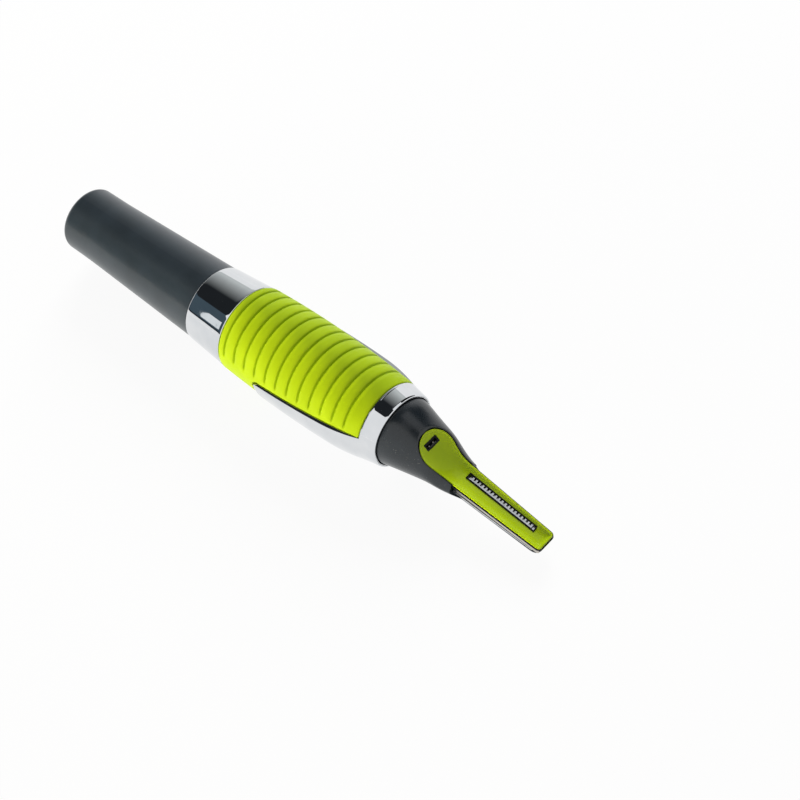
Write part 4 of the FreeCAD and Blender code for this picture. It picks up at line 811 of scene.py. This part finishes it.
def flank_band(name, material, margin, rear, front, top, height):
    """Band round the insert's flank, a hollow strip drawn down from its edge."""
    # Shares of the half width, and the two places between which the inside is cleared.
    wall, inside, rear_end, tip_end = 0.94, 0.9, 109.12, 141.05
    rows = [x for x in INSERT_ROWS if rear <= x <= front]
    piece = row_strip(name, rows, [-1, -wall, 0, wall, 1], lambda x: widened(x, margin),
                      lambda x: rim_height(x) - top)
    edit(piece)
    inner = [face.index for face in piece.data.polygons
             if abs(face.center.y) < inside * insert_half((face.center.x - TAIL_X) / MM) * MM
             and rear_end < (face.center.x - TAIL_X) / MM < tip_end]
    pick(piece, inner, "FACE")
    bpy.ops.mesh.delete(type="FACE")
    bpy.ops.mesh.select_all(action="SELECT")
    bpy.ops.mesh.extrude_region_move(TRANSFORM_OT_translate={"value": (0, 0, -height * MM)})
    close_up(piece)
    finish_piece(piece, material, "head", angle=38)


def below_rim(x, y, depth):
    """A place below the straight bar's rim, its depth square to the rim."""
    return at(x - depth * math.sin(HEAD_LEAN), y, rim_height(x) - depth * math.cos(HEAD_LEAN))


def comb_slot_shade():
    """Black frame round the comb slot, painted shade of the gap beside the comb, bevelled from an
    inset plane.
    """
    outside, inside, height, top = 0.12, 0.2, 0.48, 0.7
    tilt = math.radians(5)  # raised towards +Y, as the hollow is there
    start()
    length = (SLOT_X[1] - SLOT_X[0]) / math.cos(HEAD_LEAN) + outside * 2
    width = SLOT_Y[1] - SLOT_Y[0] + outside * 2
    bpy.ops.mesh.primitive_plane_add(
        size=1, location=below_rim(sum(SLOT_X) / 2 + top * math.sin(HEAD_LEAN),
                                   sum(SLOT_Y) / 2, top),
        rotation=(tilt, HEAD_LEAN, 0))
    piece = bpy.context.object
    piece.name = "comb_slot_shade"
    piece.scale = (length * MM, width * MM, 1)
    bpy.ops.object.transform_apply(location=True, rotation=True, scale=True)
    bpy.ops.object.mode_set(mode="EDIT")
    bpy.ops.mesh.select_mode(type="FACE")
    bpy.ops.mesh.select_all(action="SELECT")
    bpy.ops.mesh.inset(thickness=(outside + inside) * MM)
    bpy.ops.mesh.delete(type="FACE")
    bpy.ops.mesh.select_all(action="SELECT")
    bpy.ops.mesh.extrude_region_move(TRANSFORM_OT_translate={"value": (
        -height * MM * math.sin(HEAD_LEAN), 0, -height * MM * math.cos(HEAD_LEAN))})
    close_up(piece)
    modify(piece, "BEVEL", width=0.05 * MM, segments=2)
    finish_piece(piece, NYLON, "head")


def comb_strip():
    """Bright comb in the slot: a thin strip whose teeth are drawn out of one edge."""
    teeth, pitch = 19, 0.9
    spine, tooth, sheet, depth = 0.36, 0.62, 0.2, 0.86
    segments = teeth * 2 - 1
    start()
    middle = (SLOT_X[0] + SLOT_X[1]) / 2
    spine_gap = 0.26
    low = SLOT_Y[0] + spine_gap
    bpy.ops.mesh.primitive_grid_add(
        size=1, x_subdivisions=segments, y_subdivisions=1,
        location=below_rim(middle + depth * math.sin(HEAD_LEAN), low + spine / 2, depth),
        rotation=(0, HEAD_LEAN, 0))
    piece = bpy.context.object
    piece.name = "comb_strip"
    piece.scale = (segments * pitch / 2 * MM, spine * MM, 1)
    bpy.ops.object.transform_apply(location=True, rotation=True, scale=True)
    edit(piece)
    bpy.ops.mesh.select_all(action="SELECT")
    bpy.ops.mesh.extrude_region_move(TRANSFORM_OT_translate={"value": (0, 0, -sheet * MM)})
    close_up(piece)
    side = sorted((face.center.x, face.index) for face in piece.data.polygons
                  if face.normal.y > 0.9)
    edit(piece)
    pick(piece, [number for _, number in side[::2]], "FACE")
    bpy.ops.mesh.extrude_region_move(TRANSFORM_OT_translate={"value": (0, tooth * MM, 0)})
    bpy.ops.object.mode_set(mode="OBJECT")
    close_up(piece)
    modify(piece, "BEVEL", width=0.03 * MM, segments=1)
    finish_piece(piece, STEEL, "blade")


def lamp_lenses():
    """Block of the lamp, painted nearly black as the shade in its window, with two bright chips
    and the rim of their cup.
    """
    piece = block("lamp_lenses", (110.2, 110.78), (-1.4, 1.4), (1.4, 3.0))
    modify(piece, "BEVEL", width=0.12 * MM, segments=2)
    finish_piece(piece, EPOXY, "head", "lamp")
    half_length, half_width = 0.13, 0.16
    for name, x, side in (("lamp_chip_left", 110.42, -0.82), ("lamp_chip_right", 110.36, 0.5)):
        chip = block(name, (x - half_length, x + half_length),
                     (side - half_width, side + half_width), (2.9, 3.2))
        modify(chip, "BEVEL", width=0.08 * MM, segments=3)
        finish_piece(chip, NICKEL, "head")
    start()
    bpy.ops.mesh.primitive_torus_add(major_radius=0.62 * MM, minor_radius=0.07 * MM,
                                     major_segments=48, minor_segments=8,
                                     location=at(110.62, -0.2, 2.92), rotation=(0, 0.75, 0))
    cup = bpy.context.object
    cup.name = "lamp_cup"
    bpy.ops.object.transform_apply(location=True, rotation=True, scale=True)
    edit(cup)
    bpy.ops.mesh.select_all(action="SELECT")
    bpy.ops.mesh.bisect(plane_co=at(110.72, 0, 0), plane_no=(1, 0, 0), use_fill=True,
                        clear_inner=True, threshold=1e-6)
    bpy.ops.object.mode_set(mode="OBJECT")
    close_up(cup)
    finish_piece(cup, NICKEL, "head")


def chrome_rings():
    """Rear ring and front collar, turned with rolled lips from fine even steps."""
    roll, steps, sides = 0.22, 12, 144
    lip = [(1 - math.cos(math.radians(turn)), 1 - math.sin(math.radians(turn)))
           for turn in (0, 20, 40, 60, 90)]
    for name, rear, front, bore, edges, nodes in (
            ("chrome_rear_ring", 43.85, 55.3, 8.63, (9.44, 10.37), ["rear_ring"]),
            ("chrome_front_collar", 97.5, 101.6, 8.43, (9.66, 8.96), [])):
        taper = (edges[1] - edges[0]) / (front - rear)
        profile = [(rear, bore)]
        profile += [(rear + roll * run, edges[0] - roll * drop) for run, drop in lip]
        profile += [(rear + (front - rear) * step / steps,
                     edges[0] + taper * (front - rear) * step / steps)
                    for step in range(1, steps)]
        profile += [(front - roll * run, edges[1] - roll * drop) for run, drop in lip[::-1]]
        profile += [(front, bore), (rear, bore)]
        piece = turned(name, profile, sides)
        close_up(piece)
        finish_piece(piece, CHROME, "handle", *nodes, angle=50)


# Black painted shade fills the gap round the insert; the trim stands proud of it along the bar
# only.
rubber_grip()
chrome_rings()
lime_insert()
flank_band("insert_gap_shade", NYLON, margin=0.1, rear=0, front=END_X, top=0.3, height=0.86)
flank_band("bar_trim", NICKEL, margin=0.16, rear=119.5, front=141.2, top=0.62, height=0.9)
comb_slot_shade()
comb_strip()
lamp_lenses()
finish_piece(softened("nozzle", "charcoal_nozzle", width=0.12), NOZZLE, "head", "nozzle")
finish_piece(softened("chrome_bezel", "chrome_panel", width=0.16), CHROME, "handle",
             "chrome_bezel")


# Stage: floor, light and camera.

def stage_floor():
    """A pale floor that shows white to the camera but keeps a soft shadow."""
    below, white_share = 0.0002, 0.93
    bpy.ops.mesh.primitive_plane_add(size=6, location=(0, 0, -below))
    floor = bpy.context.object
    floor.name = "floor"
    material, place = blank("pale_floor")
    paper = add(material, "ShaderNodeBsdfDiffuse",
                {"Color": mottle(material, place, 300, "#F8F8F8", "#FAFAFA")})
    glow = add(material, "ShaderNodeEmission", {"Color": (1, 1, 1, 1), "Strength": 1.0})
    path = add(material, "ShaderNodeLightPath")
    seen = add(material, "ShaderNodeMath",
               {0: path.outputs["Is Camera Ray"], 1: path.outputs["Is Glossy Ray"]},
               operation="MAXIMUM")
    share = add(material, "ShaderNodeMath", {0: seen.outputs[0], 1: white_share},
                operation="MULTIPLY")
    mix = add(material, "ShaderNodeMixShader",
              {"Fac": share.outputs[0], 1: paper.outputs["BSDF"], 2: glow.outputs["Emission"]})
    add(material, "ShaderNodeOutputMaterial", {"Surface": mix.outputs["Shader"]})
    floor.data.materials.append(material)


def aim(item, location, target=(0, 0, 0.01)):
    """Put a lamp or a card at a place, facing a target, its width along the handle."""
    away = (Vector(location) - Vector(target)).normalized()
    width = (Vector((1, 0, 0)) - away * away.x).normalized()
    turn = Matrix((width, away.cross(width), away)).transposed()
    item.location = location
    item.rotation_euler = turn.to_euler()


def softbox(name, energy, size, location, tint="#FFFFFF"):
    """A soft lamp that reflections don't see: the cards give the plating its bands instead."""
    light = bpy.data.lights.new(name, "AREA")
    light.color = srgb(tint)[:3]
    light.shape = "RECTANGLE"
    light.size, light.size_y = size
    light.energy = energy
    item = bpy.data.objects.new(name, light)
    bpy.context.scene.collection.objects.link(item)
    item.visible_glossy = False
    aim(item, location)


def card(name, size, location, dark, light=None, spread=(0.0, 1.0), target=(0, 0, 0.01)):
    """A card that only reflections see: it gives plating its dark and light bands.

    Its shade runs from dark to light across its height.
    """
    bpy.ops.mesh.primitive_grid_add(size=1)
    item = bpy.context.object
    item.name = name
    item.scale = (*size, 1)
    aim(item, location, target)
    material, place = blank(name)
    height = add(material, "ShaderNodeSeparateXYZ", {0: place}).outputs["Y"]
    step = add(material, "ShaderNodeMapRange", {"Value": height, "From Min": -0.5,
                                                "From Max": 0.5}).outputs["Result"]
    ramp = add(material, "ShaderNodeValToRGB", {"Fac": step})
    stops = ramp.color_ramp.elements
    stops[0].position, stops[1].position = spread
    stops[0].color, stops[1].color = srgb(dark), srgb(light or dark)
    glow = add(material, "ShaderNodeEmission", {"Color": ramp.outputs["Color"]})
    add(material, "ShaderNodeOutputMaterial", {"Surface": glow.outputs["Emission"]})
    item.data.materials.append(material)
    for rays in ("camera", "diffuse", "transmission", "volume_scatter", "shadow"):
        setattr(item, "visible_" + rays, False)


def around(angle, lengthwise, distance):
    """A place seen from the handle: an angle from overhead towards +Y, and a share along X."""
    side = math.sqrt(1 - lengthwise ** 2)
    turn = math.radians(angle)
    return (lengthwise * distance, side * math.sin(turn) * distance,
            side * math.cos(turn) * distance + AXIS_Z)


# Sizes and places are metres. The key is high on the far side and the fill low on the near
# side. The overhead and side cards band the chrome, the small bright window is aimed at the rear
# ring, and the last two darken the nozzle's reflections and brighten the comb's.
stage_floor()
softbox("key_softbox", energy=12.0, size=(0.6, 0.6), location=(-0.5, 0.8, 0.58))
softbox("low_fill", energy=13.0, size=(0.9, 0.1), location=(-0.25, -0.82, 0.06),
        tint="#FFF4E2")
card("overhead_card", (1.5, 1.12), around(20, -0.45, 0.66), "#222528", "#CDD1D0", (0.42, 0.9))
card("side_card", (0.5, 0.48), around(-58.5, -0.62, 0.7), "#0E1316", "#46555F", (0.03, 0.12))
card("side_window", (0.0055, 0.036), (-0.1, -0.0885, 0.055), "#F2F6F8",
     target=(-0.021, -0.007, 0.018))
card("nozzle_card", (0.3, 0.78), around(50, 0.26, 0.5), "#0A0D10")
card("comb_card", (0.05, 0.06), (0.057, 0.044, 0.117), "#F4F6F8", target=(0.058, 0.001, 0.006))

# The world is white to the camera and to reflections, and a weaker fill to everything else.
world = bpy.data.worlds.new("studio")
bpy.context.scene.world = world
world.use_nodes = True
studio = world.node_tree.nodes
path = studio.new("ShaderNodeLightPath")
seen = studio.new("ShaderNodeMath")
seen.operation = "MAXIMUM"
white = studio.new("ShaderNodeMapRange")
white.inputs["To Min"].default_value = 0.31
white.inputs["To Max"].default_value = 1.0
studio["Background"].inputs["Color"].default_value = (1, 1, 1, 1)
for output, entry in ((path.outputs["Is Camera Ray"], seen.inputs[0]),
                      (path.outputs["Is Glossy Ray"], seen.inputs[1]),
                      (seen.outputs[0], white.inputs["Value"]),
                      (white.outputs["Result"], studio["Background"].inputs["Strength"])):
    world.node_tree.links.new(output, entry)

# The camera looks down from beyond the tip, on the near side.
camera_data = bpy.data.cameras.new("camera")
camera_data.lens = 99.0
camera_data.sensor_width = 36.0
camera = bpy.data.objects.new("camera", camera_data)
camera.location = (0.24795, -0.16573, 0.39588)
camera.rotation_euler = [math.radians(angle) for angle in (35.491, 7.375, 42.246)]
bpy.context.scene.collection.objects.link(camera)
bpy.context.scene.camera = camera
camera_data.clip_start = 0.01
bpy.context.scene.view_settings.view_transform = "Standard"
